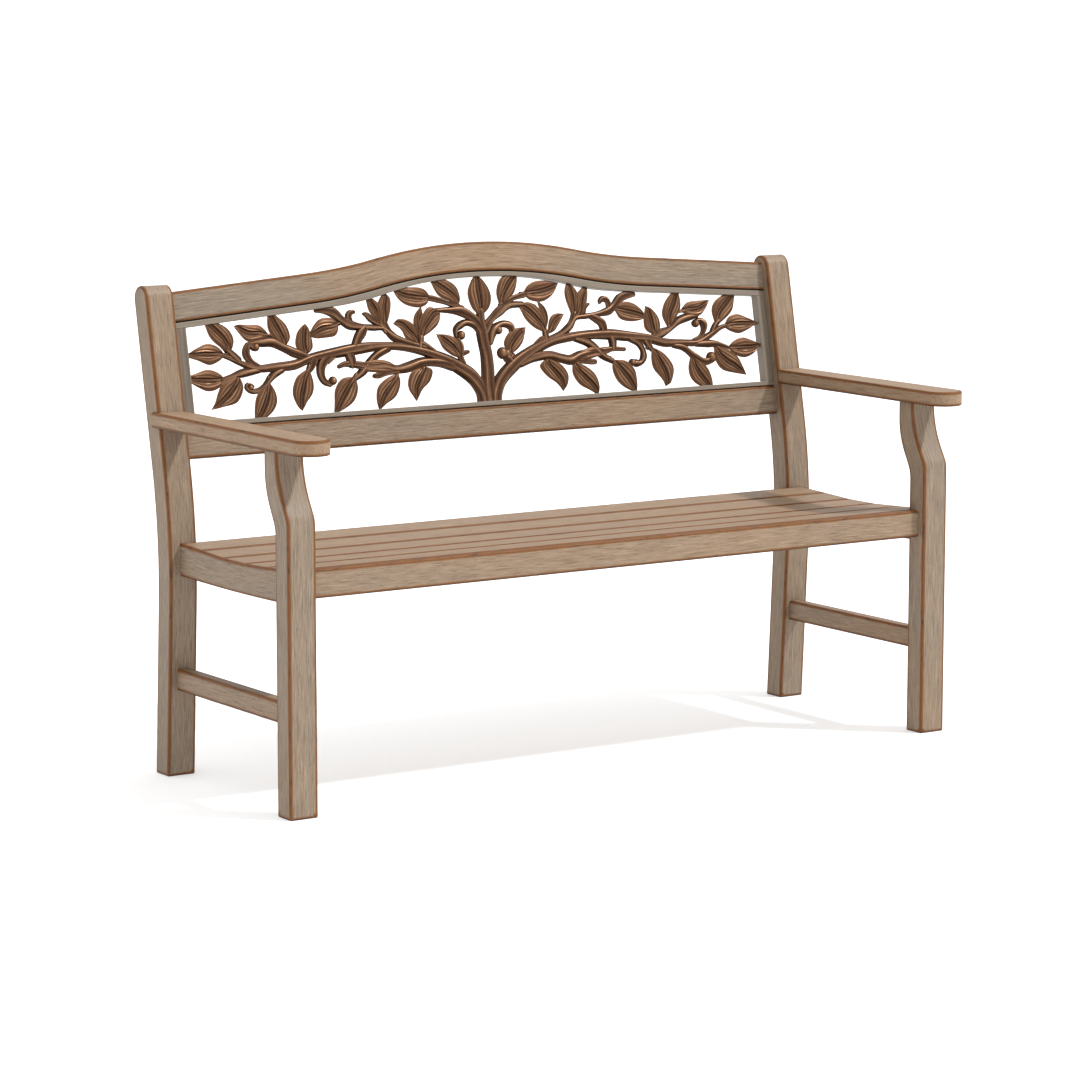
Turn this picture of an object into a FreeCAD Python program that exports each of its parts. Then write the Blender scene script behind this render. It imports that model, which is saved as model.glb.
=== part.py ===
import FreeCAD, Part
import math
import os

# A slatted garden bench with a cast tree in its back.
# Working frame: x to the right as one faces the bench, y from front to back, z up, millimetres.
# The pieces are drawn with y = 0 on the front faces of the front legs, and moved at the end so that
# the origin is the middle of the bench's box at floor level.

# Driving dimensions of the frame
OUTER_WIDTH = 1520.0
LEG_WIDTH = 58.0
FRONT_LEG_DEPTH = 47.0
ARM_UNDERSIDE = 667.0
ARM_THICKNESS = 29.0
POST_FOOT_Y = 467.0
POST_DEPTH = 49.5
POST_LEAN = 10.98
POST_KICK = 3.15
POST_STRAIGHT = 330.5
POST_BEND_RADIUS = 1100.0
POST_APEX = 352.0
ARRIS = 2.5
OUTER_X = OUTER_WIDTH / 2.0
INNER_X = OUTER_X - LEG_WIDTH

# Driving dimensions of the seat
SLAT_THICKNESS = 18.0
SLAT_GAP = 5.0
SLAT_HALF_LENGTH = 732.0
DISH = [(39.0, 452.0), (118.5, 447.0), (201.5, 443.0), (284.5, 443.0), (367.5, 447.0), (448.0, 450.5)]
SIDE_RAIL_OUTER_X = 738.0
SIDE_RAIL_THICKNESS = 27.0
SIDE_RAIL_BOTTOM = 389.0
SIDE_RAIL_ARCH = 3.0
APRON_FRONT_Y = 17.7
APRON_BACK_Y = 38.0
APRON_BOTTOM = 399.0
APRON_TOP = 452.0
REAR_RAIL_FRONT_Y = 452.0
REAR_RAIL_BACK_Y = 474.0
REAR_RAIL_BOTTOM = 392.0
REAR_RAIL_TOP = 445.0
BEARER_HALF_WIDTH = 14.0
BEARER_BOTTOM = 396.0
STRETCHER_OUTER_X = 743.0
STRETCHER_THICKNESS = 27.0
STRETCHER_BOTTOM = 167.5
STRETCHER_TOP = 208.5

# Driving dimensions of the arms
ARM_OUTER_X = 765.0
ARM_INNER_FRONT_X = 690.0
ARM_INNER_BACK_X = 702.8
ARM_FRONT_Y = -60.0
ARM_BACK_Y = 504.0

# Driving dimensions of the back, in the sloping plane of the posts' front faces:
# x across, w up the slope from BACK_FOOT_Z, n from the front faces towards the back
BACK_FOOT_Y = 465.7
BACK_FOOT_Z = 590.0
RAIL_FRONT = 18.8
RAIL_BACK = 42.8
LOWER_RAIL_BOTTOM = 18.0
LOWER_RAIL_TOP = 76.0
CREST_CENTRE = 407.3
CREST_HEIGHT = 58.6
CREST_HUMP_RADIUS = 1158.0
CREST_HUMP_SLOPE = 11.71
CREST_HOLLOW_RADIUS = 1276.0
CREST_END_SLOPE = 4.35
SHADOW_GAP = 2.0
STRIP_FRONT = 18.8
STRIP_BACK = 38.8
STRIP_LIP_FRONT = 31.0
STRIP_HEIGHT = 9.0
LEFT_STRIP_WIDTH = 30.0
RIGHT_STRIP_WIDTH = 21.0
TREE_FRONT = 21.5
TREE_BACK = 33.5
OPENING_LEFT = LEFT_STRIP_WIDTH - INNER_X
OPENING_RIGHT = INNER_X - RIGHT_STRIP_WIDTH
OPENING_BOTTOM = LOWER_RAIL_TOP + SHADOW_GAP + STRIP_HEIGHT

# Joint sizes
JOINT_SLACK = 0.15
SCREW_SHANK_RADIUS = 2.0
SCREW_HEAD_RADIUS = 4.0
SCREW_HEAD_HEIGHT = 3.0
SLAT_SCREW_LENGTH = 38.0
SLAT_COVER = 6.0
ARM_SCREW_LENGTH = 74.0
ARM_SCREW_TIP_Y = 446.0
ARM_JOINT_X = 731.0
ARM_JOINT_Z = 682.0
ARM_DOWEL_RADIUS = 4.0
ARM_DOWEL_LENGTH = 36.0
ARM_DOWEL_FOOT_Z = 651.0
PLUG_RADIUS = 5.5
PANEL_DOWEL_RADIUS = 3.0
PANEL_DOWEL_LENGTH = 20.0
PANEL_DOWEL_N = 34.9
PIN_RADIUS = 1.0
PIN_N = 27.5


class Pen:
    """A chain of tangent lines and arcs in the (u, v) plane, drawn from a start point and a heading."""

    def __init__(self, u, v, heading):
        self.at = FreeCAD.Vector(u, v, 0)
        self.heading = heading
        self.edges = []

    def step(self, length, angle):
        turn = math.radians(angle)
        return self.at + FreeCAD.Vector(length * math.cos(turn), length * math.sin(turn), 0)

    def line(self, length):
        end = self.step(length, self.heading)
        self.edges.append(Part.makeLine(self.at, end))
        self.at = end
        return self

    def line_to(self, u, v):
        end = FreeCAD.Vector(u, v, 0)
        self.edges.append(Part.makeLine(self.at, end))
        self.at = end
        return self

    def arc(self, radius, turn):
        """Turn by the given degrees, anticlockwise when positive, round an arc of the given radius."""
        chord = 2.0 * radius * math.sin(math.radians(abs(turn)) / 2.0)
        half_chord = 2.0 * radius * math.sin(math.radians(abs(turn)) / 4.0)
        middle = self.step(half_chord, self.heading + turn / 4.0)
        end = self.step(chord, self.heading + turn / 2.0)
        self.edges.append(Part.Arc(self.at, middle, end).toShape())
        self.at = end
        self.heading += turn
        return self


def face_of(edges):
    return Part.Face(Part.Wire(Part.sortEdges(edges)[0]))


def polygon(points):
    vectors = [FreeCAD.Vector(u, v, 0) for u, v in points]
    return Part.Face(Part.makePolygon(vectors + vectors[:1]))


def place(solid, matrix):
    moved = solid.copy()
    moved.Placement = FreeCAD.Placement(matrix)
    return moved


def side_solid(face, x_low, x_high):
    """Stand a (y, z) face up and draw it out along x."""
    solid = face.extrude(FreeCAD.Vector(0, 0, x_high - x_low))
    return place(solid, FreeCAD.Matrix(0, 0, 1, x_low, 1, 0, 0, 0, 0, 1, 0, 0, 0, 0, 0, 1))


def back_solid(face, n_front, n_back):
    """Stand an (x, w) face in the sloping plane of the back, between two depths behind the posts' faces."""
    lean = math.radians(POST_LEAN)
    solid = face.extrude(FreeCAD.Vector(0, 0, n_back - n_front))
    y_foot = BACK_FOOT_Y + n_back * math.cos(lean)
    z_foot = BACK_FOOT_Z - n_back * math.sin(lean)
    matrix = FreeCAD.Matrix(
        1, 0, 0, 0,
        0, math.sin(lean), -math.cos(lean), y_foot,
        0, math.cos(lean), math.sin(lean), z_foot,
        0, 0, 0, 1)
    return place(solid, matrix)


def block(x_low, x_high, y_low, y_high, z_low, z_high):
    size = (x_high - x_low, y_high - y_low, z_high - z_low)
    return Part.makeBox(*size, FreeCAD.Vector(x_low, y_low, z_low))


def back_block(x_low, x_high, w_low, w_high, n_low, n_high):
    corners = [(x_low, w_low), (x_high, w_low), (x_high, w_high), (x_low, w_high)]
    return back_solid(polygon(corners), n_low, n_high)


def mirrored(shape):
    return shape.mirror(FreeCAD.Vector(0, 0, 0), FreeCAD.Vector(1, 0, 0))


def eased(solid, chosen, radius=ARRIS):
    """Round the edges that the test picks."""
    return solid.makeFillet(radius, [edge for edge in solid.Edges if chosen(edge)])


def spans(edge, axis):
    """The extent of an edge along one axis: 0, 1 or 2."""
    box = edge.BoundBox
    return (box.XLength, box.YLength, box.ZLength)[axis]


def swan_path(y_foot, straight, low_radius, high_radius, turn, set_back):
    """One edge of a front leg: straight up, back in an S, and upright again under the arm."""
    pen = Pen(y_foot, 0, 90)
    lean = math.radians(turn)
    curved = (low_radius + high_radius) * (1.0 - math.cos(lean))
    slope_length = (set_back - curved) / math.sin(lean)
    pen.line(straight).arc(low_radius, -turn).line(slope_length).arc(high_radius, turn)
    pen.line(ARM_UNDERSIDE - pen.at.y)
    return pen


def front_leg():
    """The right-hand front leg, before its mortises."""
    front = swan_path(0.0, 535.0, 40.0, 180.0, 30.0, 42.0)
    back = swan_path(FRONT_LEG_DEPTH, 513.0, 60.0, 145.0, 28.0, 37.0)
    front.line_to(back.at.x, back.at.y)
    foot = Part.makeLine(FreeCAD.Vector(0, 0, 0), FreeCAD.Vector(FRONT_LEG_DEPTH, 0, 0))
    leg = side_solid(face_of(front.edges + back.edges + [foot]), INNER_X, OUTER_X)
    return eased(leg, lambda edge: spans(edge, 0) < 0.01 and spans(edge, 2) > 1.0)


def post_path(y_foot, radius):
    """One edge of a back post, from the floor to the start of its rounded top."""
    pen = Pen(y_foot, 0, 90 + POST_KICK)
    pen.line(POST_STRAIGHT).arc(radius, -(POST_KICK + POST_LEAN))
    lean = math.radians(POST_LEAN)
    along = (pen.at.x - BACK_FOOT_Y) * math.sin(lean) + (pen.at.y - BACK_FOOT_Z) * math.cos(lean)
    pen.line(POST_APEX - POST_DEPTH / 2.0 - along)
    return pen


def back_post():
    """The right-hand back post, before its mortises."""
    front = post_path(POST_FOOT_Y, POST_BEND_RADIUS)
    foot_depth = POST_DEPTH / math.cos(math.radians(POST_KICK))
    back = post_path(POST_FOOT_Y + foot_depth, POST_BEND_RADIUS - POST_DEPTH)
    crown = Part.Arc(front.at, front.step(POST_DEPTH / 2.0 * math.sqrt(2.0), 90 - POST_LEAN - 45), back.at)
    foot = Part.makeLine(FreeCAD.Vector(POST_FOOT_Y, 0, 0), FreeCAD.Vector(POST_FOOT_Y + foot_depth, 0, 0))
    edges = front.edges + [crown.toShape()] + back.edges + [foot]
    post = side_solid(face_of(edges), INNER_X, OUTER_X)
    return eased(post, lambda edge: spans(edge, 0) < 0.01)


def crest_curve(drop):
    """The crest's humped line from the left post to the right one, a given distance below its top."""
    hump = math.radians(CREST_HUMP_SLOPE)
    end = math.radians(CREST_END_SLOPE)
    fall = CREST_HUMP_RADIUS * (1.0 - math.cos(hump))
    fall += CREST_HOLLOW_RADIUS * (math.cos(end) - math.cos(hump))
    bent = CREST_HUMP_RADIUS * math.sin(hump) + CREST_HOLLOW_RADIUS * (math.sin(hump) - math.sin(end))
    straight = INNER_X - bent
    fall += straight * math.tan(end)
    pen = Pen(-INNER_X, CREST_CENTRE - fall - drop, CREST_END_SLOPE)
    pen.line(straight / math.cos(end))
    pen.arc(CREST_HOLLOW_RADIUS, CREST_HUMP_SLOPE - CREST_END_SLOPE)
    pen.arc(CREST_HUMP_RADIUS, -2.0 * CREST_HUMP_SLOPE)
    pen.arc(CREST_HOLLOW_RADIUS, CREST_HUMP_SLOPE - CREST_END_SLOPE)
    pen.line(straight / math.cos(end))
    return pen


def crest_band(drop_high, drop_low):
    """The face between two copies of the crest's line."""
    high = crest_curve(drop_high)
    low = crest_curve(drop_low)
    left = Part.makeLine(low.edges[0].Vertexes[0].Point, high.edges[0].Vertexes[0].Point)
    right = Part.makeLine(low.at, high.at)
    return face_of(high.edges + low.edges + [left, right])


def strip_depth(x):
    """The top strip's height, which grows where the crest turns from hump to hollow."""
    out = abs(x)
    swell = 4.0 * math.exp(-((out - 255.0) / 80.0) ** 2)
    return STRIP_HEIGHT + swell + 2.0 * min(max(out - 120.0, 0.0) / 200.0, 1.0)


def strip_underside():
    """The lower edge of the top strip, one smooth line from post to post."""
    stations = [INNER_X * step / 14.0 for step in range(-14, 15)]
    return smooth([(x, crest_height(x, CREST_HEIGHT + SHADOW_GAP + strip_depth(x))) for x in stations])


def under_strip(bottom):
    """The face between a level line and the lower edge of the top strip, from post to post."""
    top = strip_underside()
    start, end = [vertex.Point for vertex in top.Vertexes]
    foot = Pen(start.x, start.y, 0)
    foot.line_to(start.x, bottom).line_to(end.x, bottom).line_to(end.x, end.y)
    return face_of([top] + foot.edges)


def opening_face():
    """The window in the back that the strips frame."""
    frame = polygon([(OPENING_LEFT, 0.0), (OPENING_RIGHT, 0.0),
                     (OPENING_RIGHT, CREST_CENTRE), (OPENING_LEFT, CREST_CENTRE)])
    return under_strip(OPENING_BOTTOM).common(frame)


def dish_height(y):
    """The height of the seat's surface at a place from front to back."""
    for (y_low, z_low), (y_high, z_high) in zip(DISH, DISH[1:]):
        if y <= y_high or (y_high, z_high) == DISH[-1]:
            return z_low + (z_high - z_low) * (y - y_low) / (y_high - y_low)


def dish_line(y_low, y_high, drop):
    """Points along the seat's dished line between two places, a given distance below the surface."""
    inner = [y for y, _ in DISH if y_low < y < y_high]
    return [(y, dish_height(y) - drop) for y in [y_low] + inner + [y_high]]


def slat_ends(index):
    """Where a slat starts and ends from front to back."""
    half_gap = SLAT_GAP / 2.0
    y_low = DISH[index][0] + (half_gap if index > 0 else 0.0)
    y_high = DISH[index + 1][0] - (half_gap if index < len(DISH) - 2 else 0.0)
    return y_low, y_high


# Tenons as boxes: x, y and z on the seat frame, x, w and n on the back
SIDE_FRONT_TENON = (718.0, 731.0, 25.0, 48.0, 398.0, 430.0)
SIDE_BACK_TENON = (718.0, 731.0, 440.0, 471.0, 398.0, 430.0)
APRON_TENON = (690.0, 716.0, 22.0, 34.0, 406.0, 445.0)
REAR_TENON = (690.0, 716.0, 457.0, 469.0, 400.0, 437.0)
STRETCHER_FRONT_TENON = (723.0, 736.0, 25.0, 48.0, 173.0, 203.0)
STRETCHER_BACK_TENON = (723.0, 736.0, 450.0, 477.0, 173.0, 203.0)
BEARER_FRONT_TENON = (-9.0, 9.0, 30.0, 40.0, 407.0, 424.0)
BEARER_BACK_TENON = (-9.0, 9.0, 450.0, 460.0, 407.0, 424.0)
CREST_TENON = (690.0, 730.0, 290.0, 326.0, 24.3, 37.3)
LOWER_RAIL_TENON = (690.0, 730.0, 26.0, 68.0, 24.3, 37.3)


def roomy(box):
    """A mortise's box: the tenon's, with slack all round."""
    return tuple(value + (JOINT_SLACK if i % 2 else -JOINT_SLACK) for i, value in enumerate(box))


def rod(foot, direction, length, radius):
    """A round peg from a point along a direction."""
    return Part.makeCylinder(radius, length, FreeCAD.Vector(*foot), FreeCAD.Vector(*direction))


def back_point(x, w, n):
    lean = math.radians(POST_LEAN)
    y = BACK_FOOT_Y + w * math.sin(lean) + n * math.cos(lean)
    z = BACK_FOOT_Z + w * math.cos(lean) - n * math.sin(lean)
    return (x, y, z)


def screw(tip, direction, length, slack=0.0):
    """A pan-headed screw, from its tip back to its head; with slack it is the hole for it."""
    axis = FreeCAD.Vector(*direction)
    start = FreeCAD.Vector(*tip) + axis * slack
    shank_length = length - SCREW_HEAD_HEIGHT + slack
    shank = Part.makeCylinder(SCREW_SHANK_RADIUS + slack, shank_length, start, -axis)
    head_start = FreeCAD.Vector(*tip) - axis * (length - SCREW_HEAD_HEIGHT)
    head_length = SCREW_HEAD_HEIGHT + (60.0 if slack else 0.0)
    head = Part.makeCylinder(SCREW_HEAD_RADIUS + 2.0 * slack, head_length, head_start, -axis)
    return shank.fuse(head)


def slat_screw_tips():
    """Tips of the screws that hold the slats from beneath: two at each end and one in the middle."""
    tips = []
    ledge_x = (SIDE_RAIL_OUTER_X - SIDE_RAIL_THICKNESS + SLAT_HALF_LENGTH) / 2.0
    for index in range(len(DISH) - 1):
        y_low, y_high = slat_ends(index)
        middle = (y_low + y_high) / 2.0
        places = [(side * ledge_x, middle + step) for side in (-1, 1) for step in (-22.0, 22.0)]
        for x, y in places + [(0.0, middle)]:
            tips.append((x, y, dish_height(y) - SLAT_COVER))
    return tips


def seat_slat(index, holes):
    y_low, y_high = slat_ends(index)
    top = dish_line(y_low, y_high, 0.0)
    under = dish_line(y_low, y_high, SLAT_THICKNESS)
    slat = side_solid(polygon(top + under[::-1]), -SLAT_HALF_LENGTH, SLAT_HALF_LENGTH)
    slat = eased(slat, lambda edge: spans(edge, 0) > 100.0, 2.0)
    if index == 0:
        notch_back = FRONT_LEG_DEPTH + 0.5
        corner = block(INNER_X - 0.5, OUTER_X, y_low - 1.0, notch_back, 400.0, 470.0)
        slat = slat.cut(corner).cut(mirrored(corner))
    near = [hole for hole in holes if y_low < hole.BoundBox.Center.y < y_high]
    return slat.cut(near)


def side_rail(post, holes):
    """The right-hand side seat rail: dished on top, rebated for the slats, tenoned at both ends."""
    inner_x = SIDE_RAIL_OUTER_X - SIDE_RAIL_THICKNESS
    back_y = POST_FOOT_Y
    top = dish_line(FRONT_LEG_DEPTH, back_y, 0.0)
    pen = Pen(top[0][0], top[0][1], 0)
    for y, z in top[1:]:
        pen.line_to(y, z)
    pen.line_to(back_y, SIDE_RAIL_BOTTOM)
    start = FreeCAD.Vector(back_y, SIDE_RAIL_BOTTOM, 0)
    middle = FreeCAD.Vector((FRONT_LEG_DEPTH + back_y) / 2.0, SIDE_RAIL_BOTTOM - SIDE_RAIL_ARCH, 0)
    end = FreeCAD.Vector(FRONT_LEG_DEPTH, SIDE_RAIL_BOTTOM, 0)
    belly = Part.Arc(start, middle, end).toShape()
    rise = Part.makeLine(end, FreeCAD.Vector(top[0][0], top[0][1], 0))
    rail = side_solid(face_of(pen.edges + [belly, rise]), inner_x, SIDE_RAIL_OUTER_X)
    outer = SIDE_RAIL_OUTER_X - 0.1
    rail = eased(rail, lambda edge: edge.BoundBox.XMin > outer and spans(edge, 1) > 10.0, 2.0)
    under = dish_line(FRONT_LEG_DEPTH, back_y, SLAT_THICKNESS)
    rebate = polygon(under + [(back_y, 480.0), (FRONT_LEG_DEPTH, 480.0)])
    rail = rail.cut(side_solid(rebate, inner_x - 1.0, SLAT_HALF_LENGTH + 0.5))
    rail = rail.cut(post).fuse([block(*SIDE_FRONT_TENON), block(*SIDE_BACK_TENON)]).removeSplitter()
    return rail.cut([hole for hole in holes if hole.BoundBox.Center.x > inner_x])


def stretcher(post):
    """The right-hand low rail between the front leg and the back post."""
    inner_x = STRETCHER_OUTER_X - STRETCHER_THICKNESS
    rail = block(inner_x, STRETCHER_OUTER_X, FRONT_LEG_DEPTH, POST_FOOT_Y, STRETCHER_BOTTOM, STRETCHER_TOP)
    rail = eased(rail, lambda edge: spans(edge, 1) > 100.0)
    tenons = [block(*STRETCHER_FRONT_TENON), block(*STRETCHER_BACK_TENON)]
    return rail.cut(post).fuse(tenons).removeSplitter()


def cross_rail(body, tenon):
    """A rail between the posts or legs, with the same tenon at both ends."""
    return body.fuse([tenon, mirrored(tenon)]).removeSplitter()


def armrest(post, holes):
    """The right-hand arm: a board with a round nose, narrower behind and notched round the post."""
    nose = (ARM_OUTER_X - ARM_INNER_FRONT_X - 1.0) / 2.0
    length = ARM_BACK_Y - ARM_FRONT_Y - nose
    taper = math.degrees(math.atan2(ARM_INNER_BACK_X - ARM_INNER_FRONT_X, length))
    pen = Pen(ARM_OUTER_X, ARM_BACK_Y, -90)
    pen.line(length).arc(nose, -90).line(1.0).arc(nose, -90 - taper)
    pen.line_to(ARM_INNER_BACK_X, ARM_BACK_Y).line_to(ARM_OUTER_X, ARM_BACK_Y)
    board = face_of(pen.edges).extrude(FreeCAD.Vector(0, 0, ARM_THICKNESS))
    board.translate(FreeCAD.Vector(0, 0, ARM_UNDERSIDE))
    board = eased(board, lambda edge: spans(edge, 2) < 0.01 and edge.CenterOfMass.y < ARM_BACK_Y - 1.0, 3.0)
    return board.cut([post] + holes)


# The tree, in the plane of the back. A limb is a run of points, x, w and its width there.
# Its first point lies inside the limb that it grows from.
LEFT_LIMBS = {
    "trunk": [(-3, 80, 44), (-2, 120, 36), (1.2, 150, 33.5), (1.7, 180, 30.5), (-1, 205, 30),
        (-2, 228, 32), (-4, 248, 22), (-1.5, 268, 18)],
    "bough": [(-15, 80, 34), (-18.5, 108, 31.5), (-37.5, 138, 33.5), (-70, 161, 29.5), (-105, 180, 24.2),
        (-150, 196.8, 19), (-200, 207.6, 17.5), (-250, 210.5, 20), (-300, 207.7, 24.8), (-350, 202.5, 22),
        (-400, 196, 19), (-440, 184.5, 21), (-485, 182.3, 19), (-525, 182, 16.5), (-557, 194, 13),
        (-585, 207, 10), (-606, 214, 7)],
    "low_bough": [(-80.2, 162.5, 23), (-110, 170.8, 20.5), (-150, 173.5, 21), (-184.7, 165.4, 22.7),
        (-212, 162.8, 18.6), (-239.5, 169.6, 22.2), (-270.6, 170.8, 20.5), (-300.1, 177.3, 16.2),
        (-325, 180, 12.9), (-342, 175.2, 9)],
    "bud": [(-205.1, 160.7, 13.3), (-235, 157, 13), (-251.7, 153.5, 15), (-263, 152.5, 11)],
    "cross": [(-224.8, 204.4, 15.3), (-251.6, 194.2, 16.9), (-270.6, 180.7, 15.9), (-288.2, 163.4, 18.4),
        (-309, 149.7, 12.3)],
    "strut": [(-317, 202, 20), (-312.5, 190, 22), (-311, 179, 20)],
    "tie": [(-301, 211, 18), (-293, 226, 20.5), (-283.5, 238, 24), (-274, 248, 16)],
    "upper": [(-140, 201, 12), (-184.7, 215.8, 15.7), (-211.6, 227.5, 18), (-231.3, 244.3, 10.2),
        (-255.1, 247.7, 13.5), (-279.9, 250.5, 13.2), (-305, 255, 20.5), (-325, 266.4, 18),
        (-342.5, 281.8, 22.8), (-362.1, 287.2, 16.7), (-381, 287.1, 9.6)],
    "upper_curl": [(-304.7, 262, 12), (-308.5, 272, 15), (-303.5, 279.5, 14), (-294.5, 280.4, 9)],
    "upper_stem": [(-202.1, 222.9, 14.5), (-219.1, 238.7, 13.3), (-227.7, 256.6, 13)],
    "upper_bud": [(-233, 249.5, 6.4), (-255.3, 262.6, 14), (-266.8, 273.8, 12.1), (-275, 276, 6)],
    "high": [(-4.2, 231.9, 26.3), (-21, 254.1, 22), (-47.6, 270.1, 24.5), (-75.1, 273.6, 14.9),
        (-106, 275.1, 9.1)],
    "high_fork": [(-44.3, 275.5, 13.3), (-78, 288, 10), (-100.2, 295.5, 13.8), (-120, 300.9, 14.9)],
    "scroll": [(-6.7, 224.9, 16.9), (-20.3, 240.6, 15.2), (-38.1, 246.9, 14.4), (-53.5, 242.1, 16.8),
        (-65, 234, 13.1), (-65.8, 221, 9.5)],
    "scroll_spur": [(-60, 182, 7), (-48.2, 186.9, 12.1), (-40.1, 188.3, 8.7)],
    "scroll_stem": [(-56.3, 164.3, 18.4), (-59.1, 180, 13.9), (-57.3, 200.2, 17.5), (-62, 216, 10)],
    "hook": [(-363.7, 196.6, 22.7), (-378.8, 182.4, 21.5), (-383.3, 167.4, 18.7), (-381.1, 154.8, 16),
        (-374.7, 146.6, 14), (-363.2, 141.3, 10.5)],
    "drop": [(-397, 192, 22), (-404, 176, 14), (-416, 165, 8)],
    "sprig": [(-405, 197, 12), (-434.6, 207, 22), (-460.4, 219.3, 19), (-485, 231.8, 22),
        (-509, 232.5, 20), (-532, 233, 9)],
    "loop": [(-517.7, 183.5, 13.3), (-534.9, 195.1, 14.4), (-543.4, 208.7, 18), (-542.6, 219.8, 17.6),
        (-537.1, 229.6, 12.3), (-525, 223.1, 16.1)],
    "low_tip": [(-520, 178.7, 13.5), (-554.9, 175, 18), (-579.9, 169.7, 11.5), (-603.2, 162.3, 14)],
    "high_tip": [(-563, 200, 17), (-579, 216, 15), (-595, 230, 9)],
    "tendril": [(-467.8, 176.6, 13.5), (-486.4, 169, 16.5), (-497, 161, 15.5), (-505, 152.5, 13.5),
        (-513, 145.5, 12.5), (-524, 140, 12), (-536, 138.5, 12), (-546, 142, 11), (-551, 148, 9.5),
        (-547.5, 153, 8.5), (-540, 151, 8), (-534.5, 147.5, 6)],
    "fan_stem": [(-152, 203, 18), (-146, 224, 12)],
    "hook_root": [(-352, 196, 14), (-364, 186.5, 12)],
    "fan_root": [(-148, 212, 14), (-133, 204, 12), (-116, 192, 10)],
}
RIGHT_LIMBS = {
    "bough": [(11, 80, 33), (16, 106, 33), (32.5, 131.5, 30), (66.5, 158, 29.5), (100, 177, 24.5),
        (150, 196.5, 22.5), (190, 203.3, 20.5), (240, 207.4, 20), (300, 206, 23), (350, 199.4, 22.5),
        (400, 192, 21), (440, 181.6, 21), (480, 179.5, 15.5), (520, 177.5, 16), (545, 186.5, 16),
        (565, 196, 14), (585, 205.5, 11), (606, 210, 8)],
    "low_bough": [(80.3, 161.1, 23.8), (110.1, 168.3, 20.5), (150, 171.1, 19.4), (180.2, 162.8, 21),
        (202, 158.6, 22.7), (224.8, 166.7, 19.5), (255, 172, 15), (284.9, 174.2, 13.4),
        (312, 175.8, 11.5), (337.3, 173.5, 10)],
    "bud": [(200, 159.1, 12.2), (230, 155, 12), (248, 152.8, 13), (262, 151.5, 12)],
    "cross": [(219.5, 202.7, 16.8), (247, 192.5, 18.5), (263.6, 180.1, 19.3), (281.8, 163.1, 16.6),
        (305.2, 151.2, 13.6)],
    "strut": [(308, 202, 20), (310, 190, 19.5), (309, 178, 17)],
    "tie": [(292, 210, 17), (288, 229.2, 20.3), (274.2, 238.8, 17.8), (261.5, 245.9, 15.2)],
    "upper": [(140, 200, 12), (180.2, 211.6, 13.1), (206.2, 225.4, 17.3), (224, 243.1, 11.8),
        (250, 245.7, 12.6), (279.9, 248.7, 12.6), (306, 253.5, 20), (322.3, 264.3, 17),
        (338.3, 278.3, 21.5), (355.4, 283.5, 18.9), (375, 284.5, 11)],
    "upper_curl": [(310, 262, 14), (307.5, 273.5, 14), (298.5, 279.5, 15), (290, 276, 12), (287, 270.5, 7)],
    "upper_stem": [(204.9, 222.6, 14.6), (216.3, 241.8, 12.3), (222.3, 261.9, 9.3)],
    "upper_bud": [(245.4, 253.3, 11), (250.9, 263.2, 8.4), (261, 271, 6.5)],
    "high": [(2, 230, 28), (22, 251, 18), (43.9, 266.3, 21.6), (68, 277, 16), (100, 277, 13)],
    "high_fork": [(45, 277, 10), (76, 290, 12), (106.8, 296.8, 15.1)],
    "scroll": [(13, 206, 18), (20, 225, 25), (38, 238, 15), (54, 239.5, 16), (67.5, 232.5, 19),
        (66.5, 219, 13)],
    "scroll_stem": [(60, 160, 16), (50.3, 170.9, 22)],
    "hook": [(356.2, 197.3, 23.4), (372.5, 185.5, 16.5), (382.2, 170.3, 13.5), (382.7, 155.1, 16.5),
        (374.2, 144.4, 13.2), (361.8, 143.4, 17.6), (354.7, 145.4, 13.9)],
    "drop": [(391, 191, 18), (400, 176, 14), (409, 165, 8)],
    "sprig": [(408, 194, 13), (434, 202, 20), (455, 209.5, 14), (478, 224.5, 18), (503, 231, 18),
        (529, 233, 9)],
    "loop": [(512.8, 181.4, 12.9), (530.7, 189.1, 11.6), (541, 202, 15), (542.5, 215.5, 21.7),
        (533, 224, 11), (521, 221, 10)],
    "low_tip": [(518, 175.4, 14.3), (549, 174, 18), (573.4, 171.5, 14.1), (602.1, 162.3, 8.8)],
    "high_tip": [(563, 199, 13), (576, 215, 13), (591, 224, 9)],
    "tendril": [(460.1, 175.1, 13), (483, 170, 16), (499, 158.5, 16.5), (511.7, 148.3, 20),
        (527, 139.5, 18), (540, 136.8, 18), (554, 140, 16)],
    "fan_stem": [(150, 200, 18), (147, 220, 12)],
    "fan_tip": [(110, 276, 11), (129, 272, 9)],
    "scroll_stem_root": [(62, 170, 16), (66, 177, 9)],
    "fan_root": [(150, 205, 14), (137, 206, 10), (120, 195, 8)],
    "hook_root": [(398, 187, 18), (396, 173, 11)],
}

# Round ends of the scrolls: x, w and radius
KNOBS = [(-53.4, 222.3, 9.5), (-358.4, 148.7, 8.9), (-522.2, 223.4, 8.6), (36, 228, 9), (40, 181.5, 12.5),
         (353, 145.7, 7.7), (522, 217.4, 8.7), (553.5, 145, 12), (50, 180.5, 9.5), (-542, 146, 6.5)]

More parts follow.
